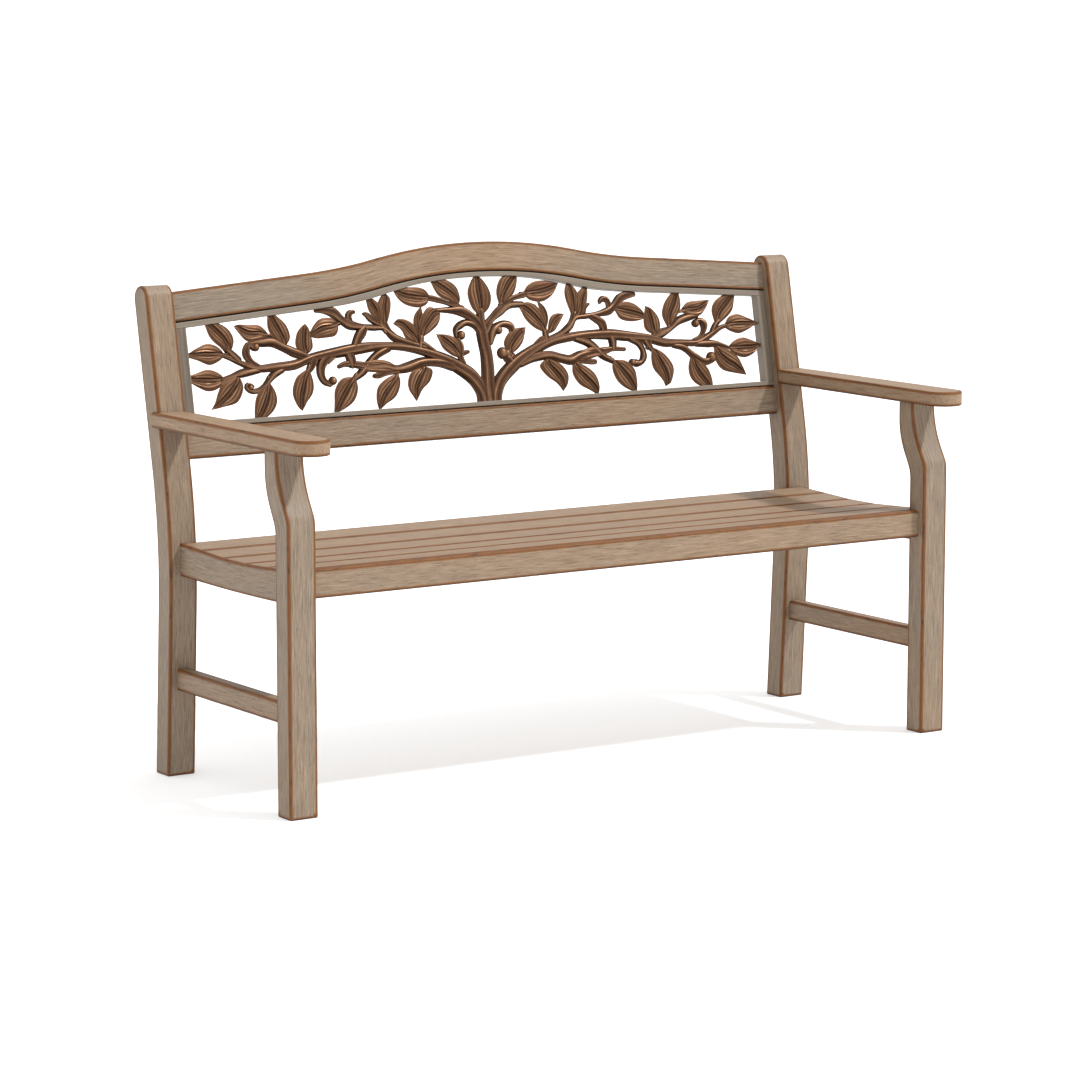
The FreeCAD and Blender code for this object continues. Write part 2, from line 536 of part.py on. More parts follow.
# A leaf is its base, points along one side, its tip, and points along the other side from base to tip
LEFT_LEAVES = {
    "crown": [(-4, 256), [(-22, 272.5), (-30, 292), (-30, 310), (-19.1, 329.1)], (-5, 343),
        [(17.1, 273.7), (24.3, 293.9), (19.8, 314), (8, 332.1)]],
    "high_upper": [(-51, 281), [(-75, 291), (-97, 301), (-108.1, 318)], (-114, 338), [(-48.5, 298.1),
        (-55.5, 319.1), (-76.7, 333.8)]],
    "high_long": [(-118, 300), [(-129.5, 286.2), (-150.1, 281.7), (-177.2, 288.7), (-194.4, 303.2)],
        (-201, 321), [(-126.4, 315), (-144.6, 322.1), (-175, 323)]],
    "high_fan": [(-147, 221), [(-126.4, 232.1), (-108, 245.3), (-99, 260.9)], (-97, 273), [(-152, 243),
        (-144, 264), (-124, 282)]],
    "high_blade": [(-152, 222), [(-163, 247), (-158.6, 268.4)], (-139, 285), [(-140, 240), (-139, 262)]],
    "scroll_leaf": [(-61, 176), [(-81.3, 182.8), (-100.3, 196.9), (-107.8, 213.6)], (-111, 228),
        [(-58, 196), (-64, 213), (-83.4, 223.9)]],
    "curl_leaf": [(-155, 208), [(-184, 221), (-193.1, 238.8)], (-208.2, 253), [(-160, 243),
        (-177.8, 258.5), (-197.2, 261.8)]],
    "bough_leaf_1": [(-148, 166), [(-178, 157), (-190, 140), (-189.5, 119.8)], (-172, 96.5),
        [(-130.5, 156.5), (-139, 135.2), (-159.5, 118)]],
    "bough_leaf_2": [(-208, 156), [(-235.3, 147.5), (-259.6, 131.2), (-265.9, 106)], (-260, 84),
        [(-207.7, 132.6), (-221, 109.5), (-244.4, 95.6)]],
    "bough_leaf_3": [(-308, 154), [(-338, 151.9), (-356.6, 132.3), (-361.2, 106)], (-363, 84),
        [(-304.5, 129.7), (-316.2, 106.3), (-341.1, 91.2)]],
    "bough_leaf_4": [(-410, 177), [(-440.1, 160.1), (-452.6, 132), (-445.5, 106.3)], (-432.7, 93.7),
        [(-403.5, 150.1), (-406.8, 128.3), (-422.8, 109.3)]],
    "upper_flat": [(-332, 259), [(-350, 271), (-375.3, 270.7), (-392.3, 257.1)], (-402, 240),
        [(-342.6, 237.1), (-367.9, 232.7), (-390.3, 233.1)]],
    "bough_top": [(-412, 201), [(-434, 218), (-431, 241.9), (-419.3, 256.1)], (-406.7, 263.6),
        [(-397.1, 214.6), (-397, 236), (-400.9, 252.4)]],
    "upper_twin_1": [(-232, 246), [(-250, 264), (-263.8, 283.5)], (-266, 314), [(-233, 278),
        (-240.5, 297)]],
    "upper_twin_2": [(-228, 243), [(-241, 272), (-243, 291), (-232.5, 307.4)], (-220, 316),
        [(-220.2, 262.1), (-212.5, 284.9), (-211.3, 303.4)]],
    "sprig_long": [(-488, 244), [(-509.1, 263.9), (-534.9, 266.9), (-554, 268.7)], (-565, 266.6),
        [(-515, 236), (-539.5, 234.5), (-555.6, 249.8)]],
    "sprig_high": [(-458, 219), [(-482, 238), (-492.7, 260)], (-488, 294), [(-444.8, 237.7),
        (-450.9, 262.2), (-470.4, 281.7)]],
    "tip_high": [(-579, 213), [(-606, 231), (-620.6, 246.6), (-627.2, 265.3)], (-630, 284),
        [(-569.3, 238), (-578.5, 260.2), (-602, 275)]],
    "tip_upper": [(-590, 212), [(-606, 228), (-628.1, 235.1), (-652.9, 227.5), (-670, 219)], (-688, 214),
        [(-604.6, 201.1), (-628.1, 193.9), (-652.2, 203.6), (-670, 210)]],
    "tip_lower": [(-596, 165), [(-609.3, 178.1), (-631.9, 185.9), (-655, 180.9)], (-686, 172),
        [(-611.5, 149.2), (-634.2, 143.8), (-656.4, 152.4)]],
    "tip_low": [(-565, 172), [(-602, 158.5), (-615.3, 140.7), (-623.4, 121.7)], (-631.9, 108.1),
        [(-559, 146), (-574.7, 120), (-605.9, 112.2)]],
    "tendril_leaf": [(-502, 158), [(-530, 133), (-539.2, 108.2)], (-542, 74), [(-489.1, 132.5),
        (-490.1, 110.7), (-506.8, 91.2)]],
    "low_bud": [(-206, 161), [(-224, 177), (-252, 184), (-285, 181)], (-318, 178), [(-222, 157),
        (-255, 158), (-290, 166)]],
}
RIGHT_LEAVES = {
    "high_upper": [(45, 276), [(38, 297), (42, 318), (56.4, 335.1)], (93, 344), [(68, 290), (81.8, 302.9),
        (90.5, 323.5)]],
    "high_long": [(103, 299), [(113.9, 313.5), (134.6, 322.4), (165, 322)], (192, 316), [(116.9, 284.7),
        (145.2, 280), (171.7, 291.8)]],
    "high_fan": [(147, 216), [(119.5, 228.5), (101.3, 245.7), (93.9, 261.4)], (89, 275), [(150, 242),
        (138, 266), (112.4, 281.1)]],
    "high_blade": [(149, 218), [(142, 250), (137, 272)], (135, 286), [(157, 245), (152.5, 267.3)]],
    "scroll_leaf": [(56, 177), [(43.5, 198), (53, 217), (72, 229)], (102.6, 231.2), [(73.7, 185.6),
        (89.2, 200), (96.3, 215.9)]],
    "curl_leaf": [(151, 213), [(158.5, 243), (173.7, 254.5)], (199, 253.5), [(168.5, 219.3),
        (182.5, 234.7)]],
    "bough_leaf_1": [(143, 166), [(123.5, 150), (138.1, 128.9), (159.3, 114.3)], (177, 96), [(174, 152.5),
        (190.1, 130.7), (188, 111.8)]],
    "bough_leaf_2": [(206, 157), [(201.5, 131), (215.2, 108.1), (239.3, 94.7)], (262, 82),
        [(232.2, 146.3), (255.6, 128.4), (264.5, 106)]],
    "bough_leaf_3": [(304, 154), [(299.8, 131.8), (309.6, 107.8), (332.9, 90.8)], (357, 84),
        [(335.2, 149.5), (354.8, 130.8), (358.3, 106.1)]],
    "bough_leaf_4": [(404, 176), [(399, 148), (403, 128), (420.5, 107.5)], (430.6, 90.9), [(434.3, 158.3),
        (453.5, 130), (445, 101)]],
    "upper_flat": [(320, 259), [(341, 270.5), (365.3, 268), (385.9, 254.9)], (400, 236), [(331.1, 237),
        (354.8, 229.5), (380.2, 230.4)]],
    "bough_top": [(414, 197), [(391.9, 211.9), (391, 236)], (400.1, 260.7), [(430, 212), (428.9, 233.8),
        (415, 252)]],
    "upper_twin_1": [(217, 243), [(205.6, 269.9), (201.2, 290), (204.5, 306.7)], (214, 317), [(230, 268),
        (235, 289), (226.5, 306)]],
    "upper_twin_2": [(224, 243), [(226, 272), (230, 291), (245, 303.5)], (260, 311), [(244, 252),
        (254.6, 277.3), (259.4, 297.7)]],
    "sprig_long": [(484, 244), [(502.5, 261.2), (528, 264.3), (548, 264.7)], (564.5, 265.3), [(510, 233),
        (533, 233), (549.5, 246)]],
    "sprig_high": [(452, 209), [(438, 235), (443.5, 258.9), (462.4, 280)], (485, 293), [(478, 238),
        (487.8, 257.9)]],
    "tip_high": [(572, 209), [(564.6, 241), (575.1, 261), (598, 273)], (632, 284), [(600.5, 225),
        (618.5, 241), (625.9, 261.9)]],
    "tip_upper": [(592, 207), [(605.8, 226.3), (628.1, 231.6), (652.5, 223.5), (670.5, 216.3)],
        (688, 209), [(605.6, 197.1), (628, 190.8), (652.4, 197.6), (669.8, 204.8)]],
    "tip_lower": [(597, 163), [(611.4, 175.1), (635, 182.4), (658.4, 176)], (686, 165), [(612, 147.5),
        (636, 139.7), (661.5, 147.1)]],
    "tip_low": [(563, 170), [(560, 142), (575.1, 118.5), (605.6, 109.1)], (640, 103), [(598, 158),
        (620, 142), (630, 122.5)]],
    "tendril_leaf": [(502, 156), [(490.4, 129.9), (491.5, 107.8), (507.3, 90.7)], (549, 72), [(533, 131),
        (546.3, 105.3)]],
    "low_bud": [(212, 162), [(234, 178), (265, 181.5), (289, 176)], (308, 171), [(238, 157), (268, 162),
        (288, 165)]],
}


def smooth(points):
    """One smooth edge through the given points."""
    curve = Part.BSplineCurve()
    curve.interpolate([FreeCAD.Vector(x, w, 0) for x, w in points])
    return curve.toShape()


def limb_face(points):
    """A limb's outline: a smooth line down each side and a round cap on each end."""
    sides = {1: [], -1: []}
    last = len(points) - 1
    for i, (x, w, width) in enumerate(points):
        before = points[max(i - 1, 0)]
        after = points[min(i + 1, last)]
        along = FreeCAD.Vector(after[0] - before[0], after[1] - before[1], 0).normalize()
        for side in sides:
            sides[side].append((x - side * along.y * width / 2.0, w + side * along.x * width / 2.0))
    edges = [smooth(sides[1]), smooth(sides[-1])]
    for end, inner in ((0, 1), (last, last - 1)):
        end_place = FreeCAD.Vector(points[end][0], points[end][1], 0)
        along = (end_place - FreeCAD.Vector(points[inner][0], points[inner][1], 0)).normalize()
        crown = end_place + along * (points[end][2] / 2.0)
        corners = [FreeCAD.Vector(*sides[side][end], 0) for side in (1, -1)]
        edges.append(Part.Arc(corners[0], crown, corners[1]).toShape())
    return face_of(edges)


def leaf_face(leaf):
    """A leaf's outline: a smooth line up each side."""
    base, one_side, tip, other_side = leaf
    return face_of([smooth([base] + one_side + [tip]), smooth([base] + other_side + [tip])])


def stem(leaf):
    """The short limb that carries a leaf and runs into its middle."""
    base = FreeCAD.Vector(*leaf[0], 0)
    middle = (FreeCAD.Vector(*leaf[1][0], 0) + FreeCAD.Vector(*leaf[3][0], 0)) * 0.5
    along = (middle - base).normalize()
    places = [(base + along * reach, width) for reach, width in ((-6.0, 8.5), (2.0, 8.0), (14.0, 5.0))]
    return [(place.x, place.y, width) for place, width in places]


def knob_face(knob):
    x, w, radius = knob
    return Part.Face(Part.Wire(Part.makeCircle(radius, FreeCAD.Vector(x, w, 0))))


def tree_face():
    limbs = list(LEFT_LIMBS.values()) + list(RIGHT_LIMBS.values())
    leaves = list(LEFT_LEAVES.values()) + list(RIGHT_LEAVES.values())
    limbs += [stem(leaf) for leaf in leaves]
    faces = [limb_face(limb) for limb in limbs]
    faces += [leaf_face(leaf) for leaf in leaves]
    faces += [knob_face(knob) for knob in KNOBS]
    whole = faces[0].multiFuse(faces[1:]).common(opening_face())
    return whole.removeSplitter()


def mortised(post, boxes, back_boxes, holes):
    """A leg or post with its mortises and holes."""
    tools = [block(*roomy(box)) for box in boxes]
    tools += [back_block(*roomy(box)) for box in back_boxes]
    return post.cut(tools + holes)


def rail_between(y_low, y_high, z_low, z_high, tenon):
    """A straight seat rail between the front legs or between the back posts."""
    body = block(-INNER_X, INNER_X, y_low, y_high, z_low, z_high)
    body = eased(body, lambda edge: spans(edge, 0) > 50.0)
    return cross_rail(body, block(*tenon))


def seat_bearer(holes):
    """The bearer under the middle of the seat, stub-tenoned into the front and rear rails."""
    top = dish_line(APRON_BACK_Y, REAR_RAIL_FRONT_Y, SLAT_THICKNESS)
    low = [(REAR_RAIL_FRONT_Y, BEARER_BOTTOM), (APRON_BACK_Y, BEARER_BOTTOM)]
    bearer = side_solid(polygon(top + low), -BEARER_HALF_WIDTH, BEARER_HALF_WIDTH)
    bearer = bearer.fuse([block(*BEARER_FRONT_TENON), block(*BEARER_BACK_TENON)]).removeSplitter()
    return bearer.cut(holes)


def crest_height(x, drop):
    """How far up the back the crest's line passes at a place along it."""
    upright = Part.makeLine(FreeCAD.Vector(x, -1000, 0), FreeCAD.Vector(x, 1000, 0))
    return Part.Wire(crest_curve(drop).edges).distToShape(upright)[1][0][0].y


def strip_top():
    """The strip under the crest, with a lip behind that closes the shadow gap."""
    gap_low = CREST_HEIGHT + SHADOW_GAP
    high = crest_curve(gap_low)
    low = strip_underside()
    left = Part.makeLine(low.Vertexes[0].Point, high.edges[0].Vertexes[0].Point)
    right = Part.makeLine(low.Vertexes[1].Point, high.at)
    body = back_solid(face_of(high.edges + [low, left, right]), STRIP_FRONT, STRIP_BACK)
    lip = back_solid(crest_band(CREST_HEIGHT, gap_low), STRIP_LIP_FRONT, STRIP_BACK)
    return body.fuse(lip).removeSplitter()


def strip_bottom():
    gap_high = LOWER_RAIL_TOP + SHADOW_GAP
    body = back_block(-INNER_X, INNER_X, gap_high, OPENING_BOTTOM, STRIP_FRONT, STRIP_BACK)
    lip = back_block(-INNER_X, INNER_X, LOWER_RAIL_TOP, gap_high, STRIP_LIP_FRONT, STRIP_BACK)
    return body.fuse(lip).removeSplitter()


def strip_side(width):
    """The right-hand strip, from the bottom strip up to the underside of the top one."""
    inner = INNER_X - width
    upright = polygon([(inner, 0.0), (INNER_X, 0.0), (INNER_X, CREST_CENTRE), (inner, CREST_CENTRE)])
    return back_solid(under_strip(OPENING_BOTTOM).common(upright), STRIP_FRONT, STRIP_BACK)


def up_the_back():
    lean = math.radians(POST_LEAN)
    return (0.0, math.sin(lean), math.cos(lean))


def panel_dowels(slack):
    """Dowels from the strips into the posts, the crest and the lower rail; with slack, their holes."""
    dowels = []
    length = PANEL_DOWEL_LENGTH + 2.0 * slack
    radius = PANEL_DOWEL_RADIUS + slack
    for side in (-1, 1):
        for w in (130.0, 270.0):
            foot = back_point(side * (INNER_X - PANEL_DOWEL_LENGTH / 2.0 - slack), w, PANEL_DOWEL_N)
            dowels.append(rod(foot, (side, 0, 0), length, radius))
        for x in (side * 200.0, side * 500.0):
            crest_foot = crest_height(x, CREST_HEIGHT + SHADOW_GAP + 6.0)
            for w in (crest_foot, OPENING_BOTTOM - 3.0 - PANEL_DOWEL_LENGTH):
                foot = back_point(x, w - slack, PANEL_DOWEL_N)
                dowels.append(rod(foot, up_the_back(), length, radius))
    return dowels


def tree_pins(slack):
    """Pins through the edges of the tree into the strips; with slack, their holes."""
    pins = []
    for x, w, length in ((-15.0, 80.0, 16.0), (8.0, 80.0, 16.0), (-5.0, 331.0, 14.0)):
        foot = back_point(x, w - slack, PIN_N)
        pins.append(rod(foot, up_the_back(), length + 2.0 * slack, PIN_RADIUS + slack))
    for side, edge, w in ((-1, -OPENING_LEFT, 215.0), (-1, -OPENING_LEFT, 170.0),
                          (1, OPENING_RIGHT, 210.5), (1, OPENING_RIGHT, 165.0)):
        foot = back_point(side * (edge - 10.0 - slack), w, PIN_N)
        pins.append(rod(foot, (side, 0, 0), 20.0 + 2.0 * slack, PIN_RADIUS + slack))
    return pins


def arm_dowels(slack):
    """Dowels from the front legs up into the arms; with slack, their holes."""
    dowels = []
    for side in (-1, 1):
        for y in (54.0, 72.0):
            foot = (side * ARM_JOINT_X, y, ARM_DOWEL_FOOT_Z - slack)
            dowels.append(rod(foot, (0, 0, 1), ARM_DOWEL_LENGTH + 2.0 * slack, ARM_DOWEL_RADIUS + slack))
    return dowels


def arm_screws(slack):
    """Screws from the backs of the posts into the arms; with slack, their holes."""
    tips = [(side * ARM_JOINT_X, ARM_SCREW_TIP_Y, ARM_JOINT_Z) for side in (-1, 1)]
    return [screw(tip, (0, -1, 0), ARM_SCREW_LENGTH, slack) for tip in tips]


def arm_plug_rods(slack):
    """The plugs' cylinders, from the screws' heads out past the backs of the posts."""
    start = ARM_SCREW_TIP_Y + ARM_SCREW_LENGTH + 0.5 - slack
    feet = [(side * ARM_JOINT_X, start, ARM_JOINT_Z) for side in (-1, 1)]
    return [rod(foot, (0, 1, 0), 60.0, PLUG_RADIUS + slack) for foot in feet]


def pair(name, right, left):
    return {name + "_left": left, name + "_right": right}


def bunch(pieces):
    """Like pieces in one node, each its own solid."""
    return Part.makeCompound([solid for piece in pieces for solid in piece.Solids])


def bench():
    """Every piece of the bench, by node."""
    leg = front_leg()
    post = back_post()
    slat_screws = [screw(tip, (0, 0, 1), SLAT_SCREW_LENGTH) for tip in slat_screw_tips()]
    slat_holes = [screw(tip, (0, 0, 1), SLAT_SCREW_LENGTH, JOINT_SLACK) for tip in slat_screw_tips()]
    bearer_holes = [hole for hole in slat_holes if abs(hole.BoundBox.Center.x) < 1.0]
    panel_holes = panel_dowels(JOINT_SLACK)
    pin_holes = tree_pins(JOINT_SLACK)
    arm_holes = arm_dowels(JOINT_SLACK) + arm_screws(JOINT_SLACK)
    plug_holes = arm_plug_rods(JOINT_SLACK / 3.0)

    leg_boxes = [SIDE_FRONT_TENON, APRON_TENON, STRETCHER_FRONT_TENON]
    post_boxes = [SIDE_BACK_TENON, REAR_TENON, STRETCHER_BACK_TENON]
    leg_right = mortised(leg, leg_boxes, [], arm_holes)
    post_holes = panel_holes + arm_holes + plug_holes
    post_right = mortised(post, post_boxes, [CREST_TENON, LOWER_RAIL_TENON], post_holes)
    rail_right = side_rail(post, slat_holes)
    stretcher_right = stretcher(post)
    arm_right = armrest(post, arm_holes)

    nodes = {}
    nodes.update(pair("front_leg", leg_right, mirrored(leg_right)))
    nodes.update(pair("back_post", post_right, mirrored(post_right)))
    nodes.update(pair("side_seat_rail", rail_right, mirrored(rail_right)))
    nodes.update(pair("side_stretcher", stretcher_right, mirrored(stretcher_right)))
    nodes.update(pair("armrest", arm_right, mirrored(arm_right)))

    crest = back_solid(crest_band(0.0, CREST_HEIGHT), RAIL_FRONT, RAIL_BACK)
    crest = eased(crest, lambda edge: spans(edge, 0) > 50.0)
    nodes["crest_rail"] = cross_rail(crest, back_block(*CREST_TENON)).cut(panel_holes)
    lower = back_block(-INNER_X, INNER_X, LOWER_RAIL_BOTTOM, LOWER_RAIL_TOP, RAIL_FRONT, RAIL_BACK)
    lower = eased(lower, lambda edge: spans(edge, 0) > 50.0)
    nodes["lower_back_rail"] = cross_rail(lower, back_block(*LOWER_RAIL_TENON)).cut(panel_holes)

    apron = rail_between(APRON_FRONT_Y, APRON_BACK_Y, APRON_BOTTOM, APRON_TOP, APRON_TENON)
    nodes["front_apron"] = apron.cut(block(*roomy(BEARER_FRONT_TENON)))
    rear = rail_between(REAR_RAIL_FRONT_Y, REAR_RAIL_BACK_Y, REAR_RAIL_BOTTOM, REAR_RAIL_TOP, REAR_TENON)
    nodes["rear_seat_rail"] = rear.cut(block(*roomy(BEARER_BACK_TENON)))
    nodes["seat_bearer"] = seat_bearer(bearer_holes)
    for index in range(len(DISH) - 1):
        nodes["seat_slat_" + str(index + 1)] = seat_slat(index, slat_holes)

    nodes["panel_strip_top"] = strip_top().cut(panel_holes + pin_holes)
    nodes["panel_strip_bottom"] = strip_bottom().cut(panel_holes + pin_holes)
    nodes["panel_strip_left"] = mirrored(strip_side(LEFT_STRIP_WIDTH)).cut(panel_holes + pin_holes)
    nodes["panel_strip_right"] = strip_side(RIGHT_STRIP_WIDTH).cut(panel_holes + pin_holes)
    nodes["tree_ornament"] = back_solid(tree_face(), TREE_FRONT, TREE_BACK).cut(pin_holes)

    plugs = [plug.common(side) for plug, side in zip(arm_plug_rods(0.0), (mirrored(post), post))]
    nodes["slat_screws"] = bunch(slat_screws)
    nodes["panel_dowels"] = bunch(panel_dowels(0.0))
    nodes["tree_pins"] = bunch(tree_pins(0.0))
    nodes["arm_dowels"] = bunch(arm_dowels(0.0))
    nodes["arm_screws"] = bunch(arm_screws(0.0))
    nodes["arm_screw_plugs"] = bunch(plugs)
    return nodes


def main():
    os.makedirs("parts", exist_ok=True)
    nodes = bench()
    box = Part.makeCompound(list(nodes.values())).optimalBoundingBox()
    shift = FreeCAD.Vector(-(box.XMin + box.XMax) / 2.0, -(box.YMin + box.YMax) / 2.0, -box.ZMin)
    for name, shape in nodes.items():
        shape.translate(shift)
        shape.exportStep("parts/" + name + ".step")
    print(len(nodes), "nodes", box)


if __name__ == "__main__":
    main()
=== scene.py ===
"""A slatted timber garden bench with a cast tree in its back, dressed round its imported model.

Lengths are metres, apart from names that end in _mm and classes that say millimetres. X runs to the right
of someone who faces the bench, Y from its front to its back and Z up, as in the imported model. The back has
its own coordinates, in millimetres: x across, w up the slope of the posts and n from the posts' front faces
towards the back. A straight billet has s along it, u across its width and v through its depth.
"""
import cmath
import logging
import math
import random
from collections.abc import Callable, Iterator, Sequence
from contextlib import contextmanager
from dataclasses import dataclass, field
from enum import Enum

import bmesh
import bpy
import numpy as np
from bmesh.types import BMEdge, BMesh
from bpy.types import ID, Material, Node, NodeSocket, Object
from mathutils import Matrix, Vector


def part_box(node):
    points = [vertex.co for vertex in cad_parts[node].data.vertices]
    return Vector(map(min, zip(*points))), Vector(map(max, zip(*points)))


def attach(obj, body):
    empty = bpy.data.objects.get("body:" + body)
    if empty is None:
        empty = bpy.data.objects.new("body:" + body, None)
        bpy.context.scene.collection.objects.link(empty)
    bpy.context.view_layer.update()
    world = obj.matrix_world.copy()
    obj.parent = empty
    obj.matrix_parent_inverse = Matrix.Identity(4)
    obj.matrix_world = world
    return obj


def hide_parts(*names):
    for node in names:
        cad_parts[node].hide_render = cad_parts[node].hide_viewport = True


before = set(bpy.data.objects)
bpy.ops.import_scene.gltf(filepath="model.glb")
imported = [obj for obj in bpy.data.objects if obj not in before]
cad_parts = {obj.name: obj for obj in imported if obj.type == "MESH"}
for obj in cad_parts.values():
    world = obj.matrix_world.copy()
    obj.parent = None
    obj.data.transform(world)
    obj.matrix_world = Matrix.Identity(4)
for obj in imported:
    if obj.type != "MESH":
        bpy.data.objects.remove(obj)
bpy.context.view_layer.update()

LOG = logging.getLogger("tree_bench")
MM = 0.001
TINY = 1e-6
ALIGNED = 0.999
BODY = "root"
SIDES = ((-1, "left"), (1, "right"))

FRONT_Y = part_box("front_leg_right")[0].y
OUTER_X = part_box("front_leg_right")[1].x
INNER_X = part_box("front_leg_right")[0].x
MEMBER_WIDTH = OUTER_X - INNER_X
LEG_DEPTH = 0.047
POST_FOOT_Y = FRONT_Y + 0.467
POST_DEPTH = 0.0495
POST_LEAN = math.radians(10.98)
BACK_FOOT_Y = FRONT_Y + 0.4657
BACK_FOOT_Z = 0.590
ARM_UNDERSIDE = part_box("front_leg_right")[1].z
ARM_THICKNESS = 0.029
LET_IN = 0.004
NOSE_FLAT = 1e-5
ARRIS = 0.003
SOFT_BAND = 0.011
SEED = 20

Point = tuple[float, float, float]
Colour = tuple[int, int, int]
Place = Callable[[float, float, float], Point]
Input = NodeSocket | float | Sequence[float]


def srgb(red: int, green: int, blue: int) -> tuple[float, float, float, float]:
    """A colour as it is named on screen, made linear.

    Args:
        red, green, blue: levels from 0 to 255.

    Returns:
        The linear colour, with an alpha of 1.
    """
    levels = [level / 255.0 for level in (red, green, blue)]
    linear = [v / 12.92 if v <= 0.04045 else ((v + 0.055) / 1.055) ** 2.4 for v in levels]
    return (*linear, 1.0)


def back_point(x_mm: float, w_mm: float, n_mm: float) -> Point:
    """A place on the sloping back.

    Args:
        x_mm, w_mm, n_mm: across the back, up its slope and into it.

    Returns:
        The place in the bench's own frame.
    """
    w, n = w_mm * MM, n_mm * MM
    y = BACK_FOOT_Y + w * math.sin(POST_LEAN) + n * math.cos(POST_LEAN)
    z = BACK_FOOT_Z + w * math.cos(POST_LEAN) - n * math.sin(POST_LEAN)
    return x_mm * MM, y, z


def on_side(side: int, place: Place) -> Place:
    """Where a billet's points go on one side of the bench.

    Args:
        side: -1 for the left and 1 for the right.
        place: where they go on the right.

    Returns:
        The same for that side.
    """
    def placed(s: float, u: float, v: float) -> Point:
        """The place, mirrored for the left."""
        x, y, z = place(s, u, v)
        return side * x, y, z
    return placed


def evenly(length: float, parts: int) -> np.ndarray:
    """Where the cuts fall that divide a length into equal parts."""
    return np.linspace(0.0, length, parts + 1)[1:-1]


def pick(*pieces: Object) -> None:
    """Select these objects alone, the first of them active."""
    bpy.ops.object.select_all(action="DESELECT")
    for piece in pieces:
        piece.select_set(True)
    bpy.context.view_layer.objects.active = pieces[0]


def added(primitive: Callable, name: str, **settings: object) -> Object:
    """Add a primitive while nothing else is selected.

    Args:
        primitive: the operator that adds it.
        name: the object's name.
        settings: what the operator is told.

    Returns:
        The new object.
    """
    bpy.ops.object.select_all(action="DESELECT")
    primitive(**settings)
    piece = bpy.context.object
    piece.name = piece.data.name = name
    return piece


def block(name: str, size: Point, centre: Point) -> Object:
    """A block of a size round its centre, with its place in its mesh."""
    piece = added(bpy.ops.mesh.primitive_cube_add, name, size=1.0, location=centre)
    piece.scale = size
    bpy.ops.object.transform_apply(location=True, rotation=False, scale=True)
    return piece


@contextmanager
def editing(piece: Object, kind: str = "EDGE") -> Iterator[BMesh]:
    """Edit mode on one piece, with nothing else selected.

    Args:
        piece: the object to edit.
        kind: what is selected in it: VERT, EDGE or FACE.

    Returns:
        The mesh that is being edited, with everything in it deselected.
    """
    pick(piece)
    bpy.ops.object.mode_set(mode="EDIT")
    bpy.ops.mesh.select_mode(type=kind)
    bpy.ops.mesh.select_all(action="DESELECT")
    yield bmesh.from_edit_mesh(piece.data)
    bpy.ops.object.mode_set(mode="OBJECT")


def select(piece: Object, chosen: Sequence) -> None:
    """Select the given edges or faces of the piece that is being edited."""
    for part in chosen:
        part.select_set(True)
    bmesh.update_edit_mesh(piece.data)


def apply_all(piece: Object) -> None:
    """Apply every modifier of a piece, in order."""
    pick(piece)
    for modifier in list(piece.modifiers):
        bpy.ops.object.modifier_apply(modifier=modifier.name)


def close_and_smooth(piece: Object, merge: float, angle: float) -> None:
    """Merge doubles, turn the faces outwards and shade smooth.

    Args:
        piece: the object to finish.
        merge: how near two points are to become one.
        angle: the least turn between faces, in degrees, that stays a sharp edge.
    """
    with editing(piece, "VERT"):
        bpy.ops.mesh.select_all(action="SELECT")
        bpy.ops.mesh.remove_doubles(threshold=merge)
        bpy.ops.mesh.normals_make_consistent(inside=False)
    bpy.ops.object.shade_smooth_by_angle(angle=math.radians(angle))


def joined(pieces: Sequence[Object], name: str) -> Object:
    """Several meshes as one object of that name."""
    pick(*pieces)
    bpy.ops.object.join()
    whole = bpy.context.object
    whole.name = whole.data.name = name
    return whole


def store(piece: Object, name: str, values: np.ndarray) -> None:
    """Keep one number or one vector for each point of a piece, for its finish to read."""
    kind, key = ("FLOAT", "value") if values.ndim == 1 else ("FLOAT_VECTOR", "vector")
    attribute = piece.data.attributes.new(name, kind, "POINT")
    attribute.data.foreach_set(key, values.astype(np.float32).ravel())


def store_even(piece: Object, name: str, value: float) -> None:
    """Keep the same number for every point of a piece."""
    store(piece, name, np.full(len(piece.data.vertices), value))


def points_of(piece: Object) -> np.ndarray:
    """The places of a mesh's points, one row each."""
    flat = np.empty(len(piece.data.vertices) * 3, np.float32)
    piece.data.vertices.foreach_get("co", flat)
    return flat.reshape(-1, 3).astype(float)


def move_points(piece: Object, places: Sequence[Point]) -> None:
    """Put each point of a mesh in its place."""
    piece.data.vertices.foreach_set("co", np.asarray(places, np.float32).ravel())
    piece.data.update()


def hand_over(piece: Object, finish: "Finish", slot: str, *nodes: str) -> Object:
    """Dress a finished piece and let it stand for its nodes.

    Args:
        piece: the finished mesh.
        finish: what its surface is.
        slot: a material slot's name; not used.
        nodes: the nodes that it replaces.

    Returns:
        The piece.
    """
    piece.data.materials.clear()
    piece.data.materials.append(finish.material())
    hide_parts(*nodes)
    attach(piece, BODY)
    LOG.info("%s: %d faces", piece.name, len(piece.data.polygons))
    return piece


